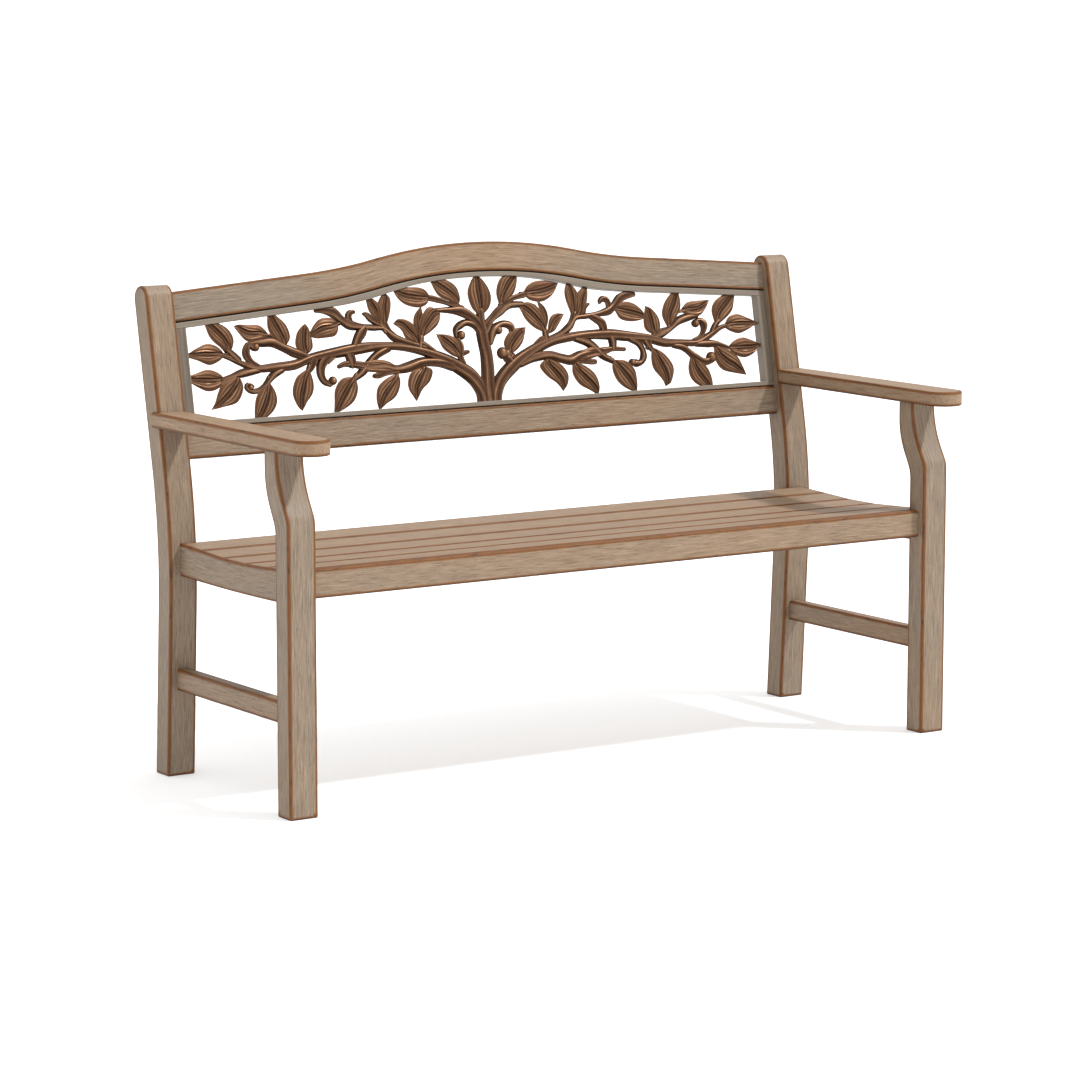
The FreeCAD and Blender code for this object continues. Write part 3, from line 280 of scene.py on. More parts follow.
class Shader:
    """One material's nodes, written as nested calls."""

    def __init__(self, name: str) -> None:
        """Start an empty material."""
        self.material = bpy.data.materials.new(name)
        self.material.use_nodes = True
        self.tree = self.material.node_tree
        self.tree.nodes.clear()

    def add(self, kind: str, inputs: dict | None = None, **settings: object) -> Node:
        """Add a node.

        Args:
            kind: the node's type, without its ShaderNode prefix.
            inputs: sockets by name or number, each a value or another node's output.
            settings: the node's own settings.

        Returns:
            The node.
        """
        node = self.tree.nodes.new("ShaderNode" + kind)
        for key, value in settings.items():
            setattr(node, key, value)
        for key, value in (inputs or {}).items():
            if isinstance(value, NodeSocket):
                self.tree.links.new(value, node.inputs[key])
            else:
                node.inputs[key].default_value = value
        return node

    def attribute(self, name: str, output: str = "Fac") -> NodeSocket:
        """A stored number or vector."""
        return self.add("Attribute", attribute_name=name).outputs[output]

    def math(self, operation: str, first: Input, second: Input) -> NodeSocket:
        """One sum."""
        return self.add("Math", {0: first, 1: second}, operation=operation).outputs[0]

    def line(self, value: Input, slope: float, start: float = 0.0) -> NodeSocket:
        """A value times a slope, plus a start."""
        return self.math("ADD", self.math("MULTIPLY", value, slope), start)

    def stirred(self, value: Input, pattern: Input, reach: float) -> NodeSocket:
        """A value moved up and down by a pattern that lies about a half."""
        return self.math("ADD", value, self.line(pattern, reach, -0.5 * reach))

    def noise(self, vector: Input, w: Input, detail: float, roughness: float) -> NodeSocket:
        """Smooth noise, one feature to a unit, different for each w."""
        inputs = {"Vector": vector, "W": w, "Scale": 1.0, "Detail": detail, "Roughness": roughness}
        return self.add("TexNoise", inputs, noise_dimensions="4D").outputs[0]

    def ramp(self, value: Input, low: float, high: float) -> NodeSocket:
        """A smooth step from 0 at low to 1 at high, which may be the smaller."""
        inputs = {"Value": value, "From Min": low, "From Max": high}
        return self.add("MapRange", inputs, interpolation_type="SMOOTHSTEP").outputs[0]

    def mix(self, share: Input, low: Input, high: Input) -> NodeSocket:
        """A colour between two others."""
        return self.add("Mix", {0: share, 6: low, 7: high}, data_type="RGBA").outputs[2]

    def bump(self, height: Input, distance: float, strength: float) -> NodeSocket:
        """A normal from a height."""
        inputs = {"Height": height, "Distance": distance, "Strength": strength}
        return self.add("Bump", inputs).outputs[0]

    def surface(self, **inputs: Input) -> Material:
        """End the material in one shader; underscores in the names stand for blanks."""
        named = {key.replace("_", " "): value for key, value in inputs.items()}
        shader = self.add("BsdfPrincipled", named)
        self.add("OutputMaterial", {"Surface": shader.outputs[0]})
        return self.material


@dataclass(frozen=True)
class Pattern:
    """Noise with so many features to a metre along, across and through a piece."""

    scale: Point
    detail: float = 3.0
    roughness: float = 0.6

    def drawn(self, shader: Shader, place: Input, seed: Input = 0.0) -> NodeSocket:
        """The pattern over a piece.

        Args:
            shader: the material's nodes.
            place: where on the piece each spot is.
            seed: a number that sets one piece's pattern apart from the next one's.

        Returns:
            The pattern's height, about a half.
        """
        stretched = shader.add("VectorMath", {0: place, 1: self.scale}, operation="MULTIPLY").outputs[0]
        return shader.noise(stretched, seed, self.detail, self.roughness)


@dataclass(frozen=True)
class Coat:
    """A colour that hides a share of what is beneath it, ever more as a pattern goes from start to full."""

    colour: Colour
    start: float
    full: float
    share: float = 1.0

    def over(self, shader: Shader, beneath: Input, pattern: Input) -> NodeSocket:
        """Lay the coat on.

        Args:
            shader: the material's nodes.
            beneath: the colour so far.
            pattern: what decides where it lies.

        Returns:
            The new colour.
        """
        cover = shader.line(shader.ramp(pattern, self.start, self.full), self.share)
        return shader.mix(cover, beneath, srgb(*self.colour))


@dataclass(frozen=True)
class Finish:
    """A plain, even surface with a little mottling, and the base of the other finishes.

    In those, relief is a bump's distance and strength, and sheen the slope and start of the roughness.
    """

    name: str
    colour: Colour = (128, 128, 128)
    roughness: float = 0.5
    metallic: float = 0.0
    mottle: Pattern = Pattern((180.0, 180.0, 180.0), roughness=0.5)
    dullness: float = 0.72

    def material(self) -> Material:
        """The finish's material, built once."""
        return bpy.data.materials.get(self.name) or self.build(Shader(self.name))

    def build(self, shader: Shader) -> Material:
        """Write the nodes: a mottled colour."""
        base = srgb(*self.colour)
        dull = tuple(self.dullness * level for level in base[:3]) + (1.0,)
        place = shader.add("TexCoord").outputs["Object"]
        colour = shader.mix(self.mottle.drawn(shader, place), dull, base)
        return shader.surface(Base_Color=colour, Roughness=self.roughness, Metallic=self.metallic)


@dataclass(frozen=True)
class WeatheredWood(Finish):
    """Hardwood gone grey and washed pale, its grain open and its edges rubbed to orange brown, with painted
    shade darkening the edges that face down.
    """

    colour: Colour = (125, 113, 99)
    wash: Pattern = Pattern((3.2, 16.0, 16.0), roughness=0.5)
    broad: Pattern = Pattern((12.0, 150.0, 150.0))
    streaks: Pattern = Pattern((26.0, 520.0, 520.0), roughness=0.65)
    pores: Pattern = Pattern((55.0, 950.0, 950.0), detail=2.0)
    ragged: Pattern = Pattern((38.0, 150.0, 150.0), roughness=0.7)
    tone_spread: float = 61.0
    tan: Coat = Coat((142, 117, 93), 0.0, 1.0)
    bloom: Coat = Coat((167, 148, 125), 0.48, 0.72, 0.24)
    dark_streaks: Coat = Coat((70, 54, 40), 0.50, 0.28, 0.58)
    pale_streaks: Coat = Coat((167, 148, 125), 0.51, 0.70, 0.56)
    open_pores: Coat = Coat((70, 54, 40), 0.42, 0.27, 0.60)
    stain: Coat = Coat((110, 65, 22), 0.0085, 0.0035, 0.30)
    # The dark edge brown: dark wear in ragged patches, and painted shade on every edge that faces down.
    burnt_and_underside_shade: Colour = (54, 29, 11)
    rubbed: Coat = Coat((110, 65, 22), 0.30, 0.50)
    # How far down an edge faces before it takes the painted shade, read from the height of its normal.
    underside_shade_ramp: tuple[float, float] = (-0.55, 0.05)
    edge: tuple[float, float] = (0.0063, 0.0036)
    edge_share: float = 0.9
    edge_ragged: float = -0.0042
    pore_depth: float = 0.6
    relief: tuple[float, float] = (0.0006, 0.35)
    sheen: tuple[float, float] = (0.20, 0.40)
    specular: float = 0.22

    def build(self, shader: Shader) -> Material:
        """Write the nodes: broad wash, streaks, pores, rubbed edges and painted shade on the edges that face
        down.
        """
        grain = shader.attribute("grain", "Vector")
        seed = shader.line(shader.attribute("tone"), self.tone_spread)
        streaks = self.streaks.drawn(shader, grain, seed)
        pores = self.pores.drawn(shader, grain, seed)
        ragged = self.ragged.drawn(shader, grain, seed)
        warm = shader.stirred(shader.attribute("warm"), self.wash.drawn(shader, grain, seed), 1.0)
        reach = shader.stirred(shader.attribute("arris"), ragged, self.edge_ragged)
        tone = self.tan.over(shader, srgb(*self.colour), warm)
        tone = self.bloom.over(shader, tone, self.broad.drawn(shader, grain, seed))
        tone = self.dark_streaks.over(shader, tone, streaks)
        tone = self.pale_streaks.over(shader, tone, streaks)
        tone = self.open_pores.over(shader, tone, pores)
        tone = self.stain.over(shader, tone, reach)
        facing = shader.add("TexCoord").outputs["Normal"]
        upward = shader.add("SeparateXYZ", {0: facing}).outputs["Z"]
        # Edges that face down take the dark brown as painted shade; elsewhere ragged patches of wear take
        # it.
        wear_and_underside_shade = shader.math("MINIMUM", shader.ramp(ragged, self.rubbed.start, self.rubbed.full),
                           shader.ramp(upward, *self.underside_shade_ramp))
        brown = shader.mix(wear_and_underside_shade, srgb(*self.burnt_and_underside_shade), srgb(*self.rubbed.colour))
        tone = shader.mix(shader.line(shader.ramp(reach, *self.edge), self.edge_share), tone, brown)
        height = shader.math("ADD", streaks, shader.line(pores, self.pore_depth))
        return shader.surface(Base_Color=tone, Roughness=shader.line(streaks, *self.sheen),
                              Normal=shader.bump(height, *self.relief), Specular_IOR_Level=self.specular)


@dataclass(frozen=True)
class StripPaint(Finish):
    """The smooth grey of the strips round the tree, paler along every edge as a painted highlight."""

    colour: Colour = (90, 79, 67)
    drawn_grain: Pattern = Pattern((12.0, 260.0, 260.0))
    cloud: Pattern = Pattern((14.0, 40.0, 40.0))
    seeds: tuple[float, float] = (3.0, 5.0)
    pale_grain: Coat = Coat((110, 98, 84), 0.35, 0.65)
    brown_cloud: Coat = Coat((102, 87, 71), 0.5, 0.75, 0.4)
    # A paler band along every edge: a painted highlight.
    pale_edge_highlight: Coat = Coat((138, 127, 113), 0.0022, 0.0008, 0.5)
    relief: tuple[float, float] = (0.0003, 0.25)
    sheen: tuple[float, float] = (0.16, 0.42)

    def build(self, shader: Shader) -> Material:
        """Write the nodes: a faint drawn grain under a grey wash, and a painted highlight along the edges.
        """
        grain = shader.attribute("grain", "Vector")
        drawn = self.drawn_grain.drawn(shader, grain, self.seeds[0])
        cloud = self.cloud.drawn(shader, grain, self.seeds[1])
        grey = self.pale_grain.over(shader, srgb(*self.colour), drawn)
        grey = self.brown_cloud.over(shader, grey, cloud)
        # Every edge is lightened: a painted highlight.
        grey = self.pale_edge_highlight.over(shader, grey, shader.attribute("arris"))
        return shader.surface(Base_Color=grey, Roughness=shader.line(drawn, *self.sheen),
                              Normal=shader.bump(drawn, *self.relief))


@dataclass(frozen=True)
class Bronze(Finish):
    """Antique bronze: dark in the grooves, rubbed bright on every ridge and rim."""

    colour: Colour = (30, 17, 9)
    metallic: float = 0.6
    specular: float = 0.35
    fine: Pattern = Pattern((420.0, 420.0, 420.0))
    cloud: Pattern = Pattern((55.0, 55.0, 55.0))
    cloud_seed: float = 2.0
    fine_reach: float = 0.25
    cloud_reach: float = 0.3
    body: Coat = Coat((86, 56, 34), 0.0, 0.5)
    bright: Coat = Coat((165, 128, 97), 0.55, 1.0, 0.75)
    polished: tuple[float, float] = (0.2, 1.0)
    relief: tuple[float, float] = (0.0003, 0.3)
    sheen: tuple[float, float] = (-0.14, 0.55)

    def build(self, shader: Shader) -> Material:
        """Write the nodes: colour by relief, broken by fine mottling."""
        place = shader.add("TexCoord").outputs["Object"]
        fine = self.fine.drawn(shader, place)
        cloud = self.cloud.drawn(shader, place, self.cloud_seed)
        ridge = shader.stirred(shader.attribute("relief"), fine, self.fine_reach)
        ridge = shader.stirred(ridge, cloud, self.cloud_reach)
        colour = self.bright.over(shader, self.body.over(shader, srgb(*self.colour), ridge), ridge)
        rough = shader.line(shader.ramp(ridge, *self.polished), *self.sheen)
        return shader.surface(Base_Color=colour, Roughness=rough, Metallic=self.metallic,
                              Specular_IOR_Level=self.specular, Normal=shader.bump(fine, *self.relief))


WOOD = WeatheredWood("washed_hardwood")
STRIP = StripPaint("grey_wash")
BRONZE = Bronze("antique_bronze")
STEEL = Finish("zinc_plate", (170, 172, 175), 0.35, 1.0)
BEECH = Finish("plain_beech", (206, 172, 128), 0.6)


class Nose(Enum):
    """How a billet's high end is shaped."""

    SQUARE = "square"
    ROUND_ACROSS_WIDTH = "round seen from above"
    ROUND_ACROSS_DEPTH = "round seen from the side"


@dataclass
class Billet:
    """A squared length of timber, sawn along X from 0, with its width along Y and its depth along Z.

    Its high end may have a nose. Its low end is hidden unless its foot shows. Its stations are the places
    along it where it gets a line across, so that it can bend there.
    """

    length: float
    width: float
    depth: float
    nose: Nose = Nose.SQUARE
    nose_radius: float = 0.0
    foot_shows: bool = False
    arris: float = ARRIS
    stations: Sequence[float] = ()
    nose_steps: int = 14
    arris_steps: int = 4
    warmth: float = 0.4
    wear: float = 0.0
    nose_merge: float = 1e-4
    least_band: float = 0.002
    least_middle: float = 0.001
    sharp_degrees: float = 40.0
    smooth_degrees: float = 35.0

    def sawn(self, name: str) -> Object:
        """Cut the billet and soften its edges.

        Args:
            name: the piece's name.

        Returns:
            The straight billet, with its grain and the distance to its arrises stored.
        """
        billet = block(name, (self.length, self.width, self.depth), (self.length / 2.0, 0.0, 0.0))
        if self.nose is not Nose.SQUARE:
            self.round_nose(billet)
        arrises = self.soften(billet)
        self.cross_cut(billet)
        straight = points_of(billet)
        store(billet, "grain", straight)
        reach = self.arris_distance(straight, arrises)
        store(billet, "arris", np.where(reach < SOFT_BAND - TINY, reach - self.wear, reach))
        store_even(billet, "warm", self.warmth)
        return billet

    @property
    def nose_axis(self) -> int:
        """The axis that the nose's rounded corners run along."""
        return 2 if self.nose is Nose.ROUND_ACROSS_WIDTH else 1

    def round_nose(self, billet: Object) -> None:
        """Round the high end to a half circle."""
        with editing(billet) as mesh:
            select(billet, [edge for edge in mesh.edges
                            if self.lies_along(edge, self.nose_axis) and self.is_at(edge, self.length)])
            bpy.ops.mesh.bevel(offset=self.nose_radius, segments=self.nose_steps, affect="EDGES")
            bpy.ops.mesh.select_all(action="SELECT")
            bpy.ops.mesh.remove_doubles(threshold=self.nose_merge)

    def soften(self, billet: Object) -> np.ndarray:
        """Round the arrises that show.

        Args:
            billet: the sharp billet.

        Returns:
            The sharp edges as they were: pairs of places.
        """
        hidden = [] if self.foot_shows else [0.0]
        if self.nose is Nose.SQUARE:
            hidden.append(self.length)
        with editing(billet) as mesh:
            chosen = [edge for edge in mesh.edges
                      if edge.calc_face_angle(0.0) > math.radians(self.sharp_degrees)
                      and not any(self.is_at(edge, end) for end in hidden)]
            lines = np.array([[tuple(vert.co) for vert in edge.verts] for edge in chosen])
            select(billet, chosen)
            bpy.ops.mesh.bevel(offset=self.arris, segments=self.arris_steps, affect="EDGES")
        return lines

    def cross_cut(self, billet: Object) -> None:
        """Mark lines across and along the billet, so that it can bend and its edges can wear."""
        band = max(SOFT_BAND - self.arris, self.least_band)
        marks = [(0, station) for station in self.stations]
        sides = ((1, self.width, Nose.ROUND_ACROSS_WIDTH), (2, self.depth, Nose.ROUND_ACROSS_DEPTH))
        for axis, size, rounded in sides:
            middle = size / 2.0 - band - self.arris
            if middle > self.least_middle and self.nose is not rounded:
                marks += [(axis, -middle), (axis, middle)]
        if self.foot_shows:
            marks.append((0, band + self.arris))
        with editing(billet, "FACE") as mesh:
            if self.nose is not Nose.SQUARE:
                select(billet, [face for face in mesh.faces if abs(face.normal[self.nose_axis]) > ALIGNED])
                bpy.ops.mesh.inset(thickness=band, depth=0.0)
            for axis, place in marks:
                bpy.ops.mesh.select_all(action="SELECT")
                at = [0.0, 0.0, 0.0]
                at[axis] = place
                bpy.ops.mesh.bisect(plane_co=at, plane_no=[float(i == axis) for i in range(3)])

    @staticmethod
    def lies_along(edge: BMEdge, axis: int) -> bool:
        """Whether an edge runs along an axis."""
        run = edge.verts[1].co - edge.verts[0].co
        return abs(run[axis]) > ALIGNED * run.length

    @staticmethod
    def is_at(edge: BMEdge, end: float) -> bool:
        """Whether an edge lies in a billet's end."""
        return all(abs(vert.co.x - end) < TINY for vert in edge.verts)

    @staticmethod
    def arris_distance(places: np.ndarray, lines: np.ndarray) -> np.ndarray:
        """How far each place is from the nearest sharp edge.

        Args:
            places: one row for each point.
            lines: the edges' two ends.

        Returns:
            The distances, none above the band that wears.
        """
        nearest = np.full(len(places), SOFT_BAND)
        for start, end in lines:
            run = end - start
            share = np.clip((places - start) @ run / (run @ run), 0.0, 1.0)
            away = np.linalg.norm(places - start - share[:, None] * run, axis=1)
            nearest = np.minimum(nearest, away)
        return nearest

    def fitted(self, name: str, place: Place) -> Object:
        """Saw a billet and bend it to its place.

        Args:
            name: the piece's name.
            place: where each point of the straight billet goes.

        Returns:
            The finished timber, with no material yet.
        """
        return self.bent(self.sawn(name), place)

    def bent(self, billet: Object, place: Place) -> Object:
        """Put a straight billet in its place and even out its shading.

        Args:
            billet: what was sawn.
            place: where each of its points goes.

        Returns:
            The finished timber, with no material yet.
        """
        store_even(billet, "tone", random.Random(SEED + sum(map(ord, billet.name))).random())
        move_points(billet, [place(*straight) for straight in points_of(billet)])
        close_and_smooth(billet, TINY, self.smooth_degrees)
        billet.modifiers.new("even_shading", "WEIGHTED_NORMAL").keep_sharp = True
        apply_all(billet)
        return billet

    def pair(self, piece: str, node: str, place: Place) -> list[Object]:
        """Make a timber and its mirror image.

        Args:
            piece: the two pieces' name, without their sides.
            node: the name of the nodes that they stand for, without their sides.
            place: where each point of the straight billet goes on the right.

        Returns:
            The left timber and the right one, dressed.
        """
        timbers = []
        for side, word in SIDES:
            timber = self.fitted(f"{piece}_{word}", on_side(side, place))
            timbers.append(hand_over(timber, WOOD, "weathered_wood", f"{node}_{word}"))
        return timbers


@dataclass(frozen=True)
class Stroke:
    """One straight or evenly curved run of a line, in a plane held as complex numbers."""

    start: complex
    heading: float
    length: float
    turn: float = 0.0

    def at(self, share: float) -> complex:
        """The place a share of the way along."""
        before = cmath.exp(1j * self.heading)
        if not self.turn:
            return self.start + share * self.length * before
        after = cmath.exp(1j * (self.heading + share * self.turn))
        return self.start + self.length / self.turn * (after - before) / 1j


@dataclass
class DrawnLine:
    """A chain of tangent strokes, drawn from a start and a heading in degrees."""

    start: complex
    heading: float
    strokes: list[Stroke] = field(default_factory=list)

    @property
    def end(self) -> complex:
        """Where the line has got to."""
        return self.strokes[-1].at(1.0) if self.strokes else self.start

    def ahead(self, length: float) -> "DrawnLine":
        """Go straight on."""
        self.strokes.append(Stroke(self.end, math.radians(self.heading), length))
        return self

    def curve(self, radius: float, turn: float) -> "DrawnLine":
        """Turn by some degrees round an arc, anticlockwise when positive."""
        swept = math.radians(turn)
        self.strokes.append(Stroke(self.end, math.radians(self.heading), radius * abs(swept), swept))
        self.heading += turn
        return self


@dataclass
class Upright:
    """A leg or post: a front line and a back line with the same run of strokes, in the plane of y and z."""

    front: DrawnLine
    back: DrawnLine
    curve_steps: int = 10
    straight_steps: int = 4
    least_run: float = 0.001

    def __post_init__(self) -> None:
        """Work out how far along the timber each stroke starts."""
        pairs = zip(self.front.strokes, self.back.strokes)
        lengths = [(ahead.length + behind.length) / 2.0 for ahead, behind in pairs]
        self.starts = np.concatenate([[0.0], np.cumsum(lengths)])

    @property
    def length(self) -> float:
        """The timber's length along its middle."""
        return float(self.starts[-1])

    def stations(self) -> list[float]:
        """Where the timber needs a line across it to bend."""
        marks = set()
        for start, end, stroke in zip(self.starts, self.starts[1:], self.front.strokes):
            steps = self.curve_steps if stroke.turn else self.straight_steps
            marks.update(np.linspace(start, end, steps + 1))
        return [mark for mark in sorted(marks) if self.least_run < mark < self.length - self.least_run]

    def at(self, along: float, share: float) -> complex:
        """A place on the timber's side.

        Args:
            along: the distance along its middle.
            share: 0 at its front face and 1 at its back.

        Returns:
            Y and Z as one complex number.
        """
        index = int(np.clip(np.searchsorted(self.starts, along, "right") - 1, 0, len(self.starts) - 2))
        run = (along - self.starts[index]) / (self.starts[index + 1] - self.starts[index])
        front = self.front.strokes[index].at(run)
        back = self.back.strokes[index].at(run)
        return front + share * (back - front)

    def pair(self, piece: str, node: str, depth: float, nose: Nose = Nose.SQUARE) -> list[Object]:
        """Make the upright for both sides of the bench.

        Args:
            piece: the two pieces' name, without their sides.
            node: the name of the nodes that they stand for, without their sides.
            depth: the timber's depth from its front line to its back line.
            nose: how its top is shaped.

        Returns:
            The left upright and the right one.
        """
        billet = Billet(self.length, MEMBER_WIDTH, depth, nose, depth / 2.0 - NOSE_FLAT, foot_shows=True,
                        stations=self.stations())

        def place(s: float, u: float, v: float) -> Point:
            """Where a point of the straight billet goes."""
            spot = self.at(s, v / depth + 0.5)
            return INNER_X + MEMBER_WIDTH / 2.0 + u, spot.real, spot.imag
        return billet.pair(piece, node, place)


@dataclass
class FrontLegs:
    """The two sawn front legs, each with a swan bend under its arm."""

    front_bend: tuple[float, float, float, float, float] = (0.535, 0.040, 0.180, 30.0, 0.042)
    back_bend: tuple[float, float, float, float, float] = (0.513, 0.060, 0.145, 28.0, 0.037)

    @staticmethod
    def swan_line(start_y: float, bend: Sequence[float]) -> DrawnLine:
        """One face of the leg, from the floor to the arm.

        Args:
            start_y: where it stands.
            bend: its straight height, the two radii, the turn in degrees and how far it sets back.

        Returns:
            The line.
        """
        straight, low, high, turn, set_back = bend
        lean = math.radians(turn)
        curved = (low + high) * (1.0 - math.cos(lean))
        line = DrawnLine(complex(start_y, 0.0), 90.0).ahead(straight).curve(low, -turn)
        line.ahead((set_back - curved) / math.sin(lean)).curve(high, turn)
        return line.ahead(ARM_UNDERSIDE - line.end.imag)

    def build(self) -> list[Object]:
        """Make both legs."""
        shape = Upright(self.swan_line(FRONT_Y, self.front_bend),
                        self.swan_line(FRONT_Y + LEG_DEPTH, self.back_bend))
        return shape.pair("leg_front", "front_leg", LEG_DEPTH)


@dataclass
class BackPosts:
    """The two back legs, bent back above the seat into posts with full-round tops."""

    kick: float = 3.15
    straight: float = 0.3305
    bend_radius: float = 1.1
    apex: float = 0.352
    bend_steps: int = 14

    def post_line(self, start_y: float, radius: float) -> DrawnLine:
        """One face of the post, from the floor to the height of its crown."""
        lean = math.degrees(POST_LEAN)
        line = DrawnLine(complex(start_y, 0.0), 90.0 + self.kick).ahead(self.straight)
        line.curve(radius, -(self.kick + lean))
        reached = line.end - complex(BACK_FOOT_Y, BACK_FOOT_Z)
        risen = reached.real * math.sin(POST_LEAN) + reached.imag * math.cos(POST_LEAN)
        return line.ahead(self.apex - risen)

    def build(self) -> list[Object]:
        """Make both posts."""
        foot_depth = POST_DEPTH / math.cos(math.radians(self.kick))
        front = self.post_line(POST_FOOT_Y, self.bend_radius)
        back = self.post_line(POST_FOOT_Y + foot_depth, self.bend_radius - POST_DEPTH)
        shape = Upright(front, back, self.bend_steps)
        return shape.pair("post_back", "back_post", POST_DEPTH, Nose.ROUND_ACROSS_DEPTH)


@dataclass
class Crest:
    """The line of the back's top: a hump between two hollows, with sloping ends, in millimetres."""

    centre: float = 407.3
    hump_radius: float = 1158.0
    hollow_radius: float = 1276.0
    hump_slope: float = math.radians(11.71)
    end_slope: float = math.radians(4.35)

    def __post_init__(self) -> None:
        """Find where the hump, the hollows and the straight ends meet."""
        slopes = math.sin(self.hump_slope) - math.sin(self.end_slope)
        self.hump_end = self.hump_radius * math.sin(self.hump_slope)
        self.hollow_end = self.hump_end + self.hollow_radius * slopes

    def height(self, x_mm: float) -> float:
        """How far up the back the top edge is, at a place across it."""
        out = abs(x_mm)
        on_hump = min(out, self.hump_end)
        height = self.centre - self.hump_radius + math.sqrt(self.hump_radius ** 2 - on_hump ** 2)
        if out > self.hump_end:
            middle = self.hump_end + self.hollow_radius * math.sin(self.hump_slope)
            on_hollow = min(out, self.hollow_end)
            height += self.hollow_radius * math.cos(self.hump_slope)
            height -= math.sqrt(self.hollow_radius ** 2 - (middle - on_hollow) ** 2)
        return height - math.tan(self.end_slope) * max(out - self.hollow_end, 0.0)


CREST = Crest()


@dataclass
class BackRails:
    """The humped crest rail and the straight rail under the tree, in millimetres."""

    front_n: float = 18.8
    back_n: float = 42.8
    crest_height: float = 58.6
    lower_bottom: float = 18.0
    lower_top: float = 76.0
    steps: int = 56
    warmth: float = 0.5
    crest_warmth: tuple[float, float] = (0.15, 0.8)
    warm_reach: float = 0.33

    def rail(self, name: str, height: float, top: Callable[[float], float], node: str) -> Object:
        """A rail between the posts.

        Args:
            name: the piece's name.
            height: its height up the slope.
            top: how far up the slope its top edge is, at a place across the back.
            node: the node that it stands for.

        Returns:
            The rail.
        """
        length = 2.0 * INNER_X
        middle_n = (self.front_n + self.back_n) / 2.0
        billet = Billet(length, height * MM, (self.back_n - self.front_n) * MM,
                        stations=evenly(length, self.steps), warmth=self.warmth)

        def place(s: float, u: float, v: float) -> Point:
            """Where a point of the straight billet goes."""
            x_mm = (s - INNER_X) / MM
            return back_point(x_mm, top(x_mm) - height / 2.0 + u / MM, middle_n + v / MM)
        return hand_over(billet.fitted(name, place), WOOD, "weathered_wood", node)

    def build(self) -> list[Object]:
        """Make both rails, the crest warmer in its middle than at its ends."""
        crest = self.rail("rail_crest", self.crest_height, CREST.height, "crest_rail")
        across = points_of(crest)[:, 0]
        least, rise = self.crest_warmth
        crest.data.attributes.remove(crest.data.attributes["warm"])
        store(crest, "warm", least + rise * np.exp(-(across / self.warm_reach) ** 2))
        lower_height = self.lower_top - self.lower_bottom
        lower = self.rail("rail_lower_back", lower_height, lambda x_mm: self.lower_top, "lower_back_rail")
        return [crest, lower]


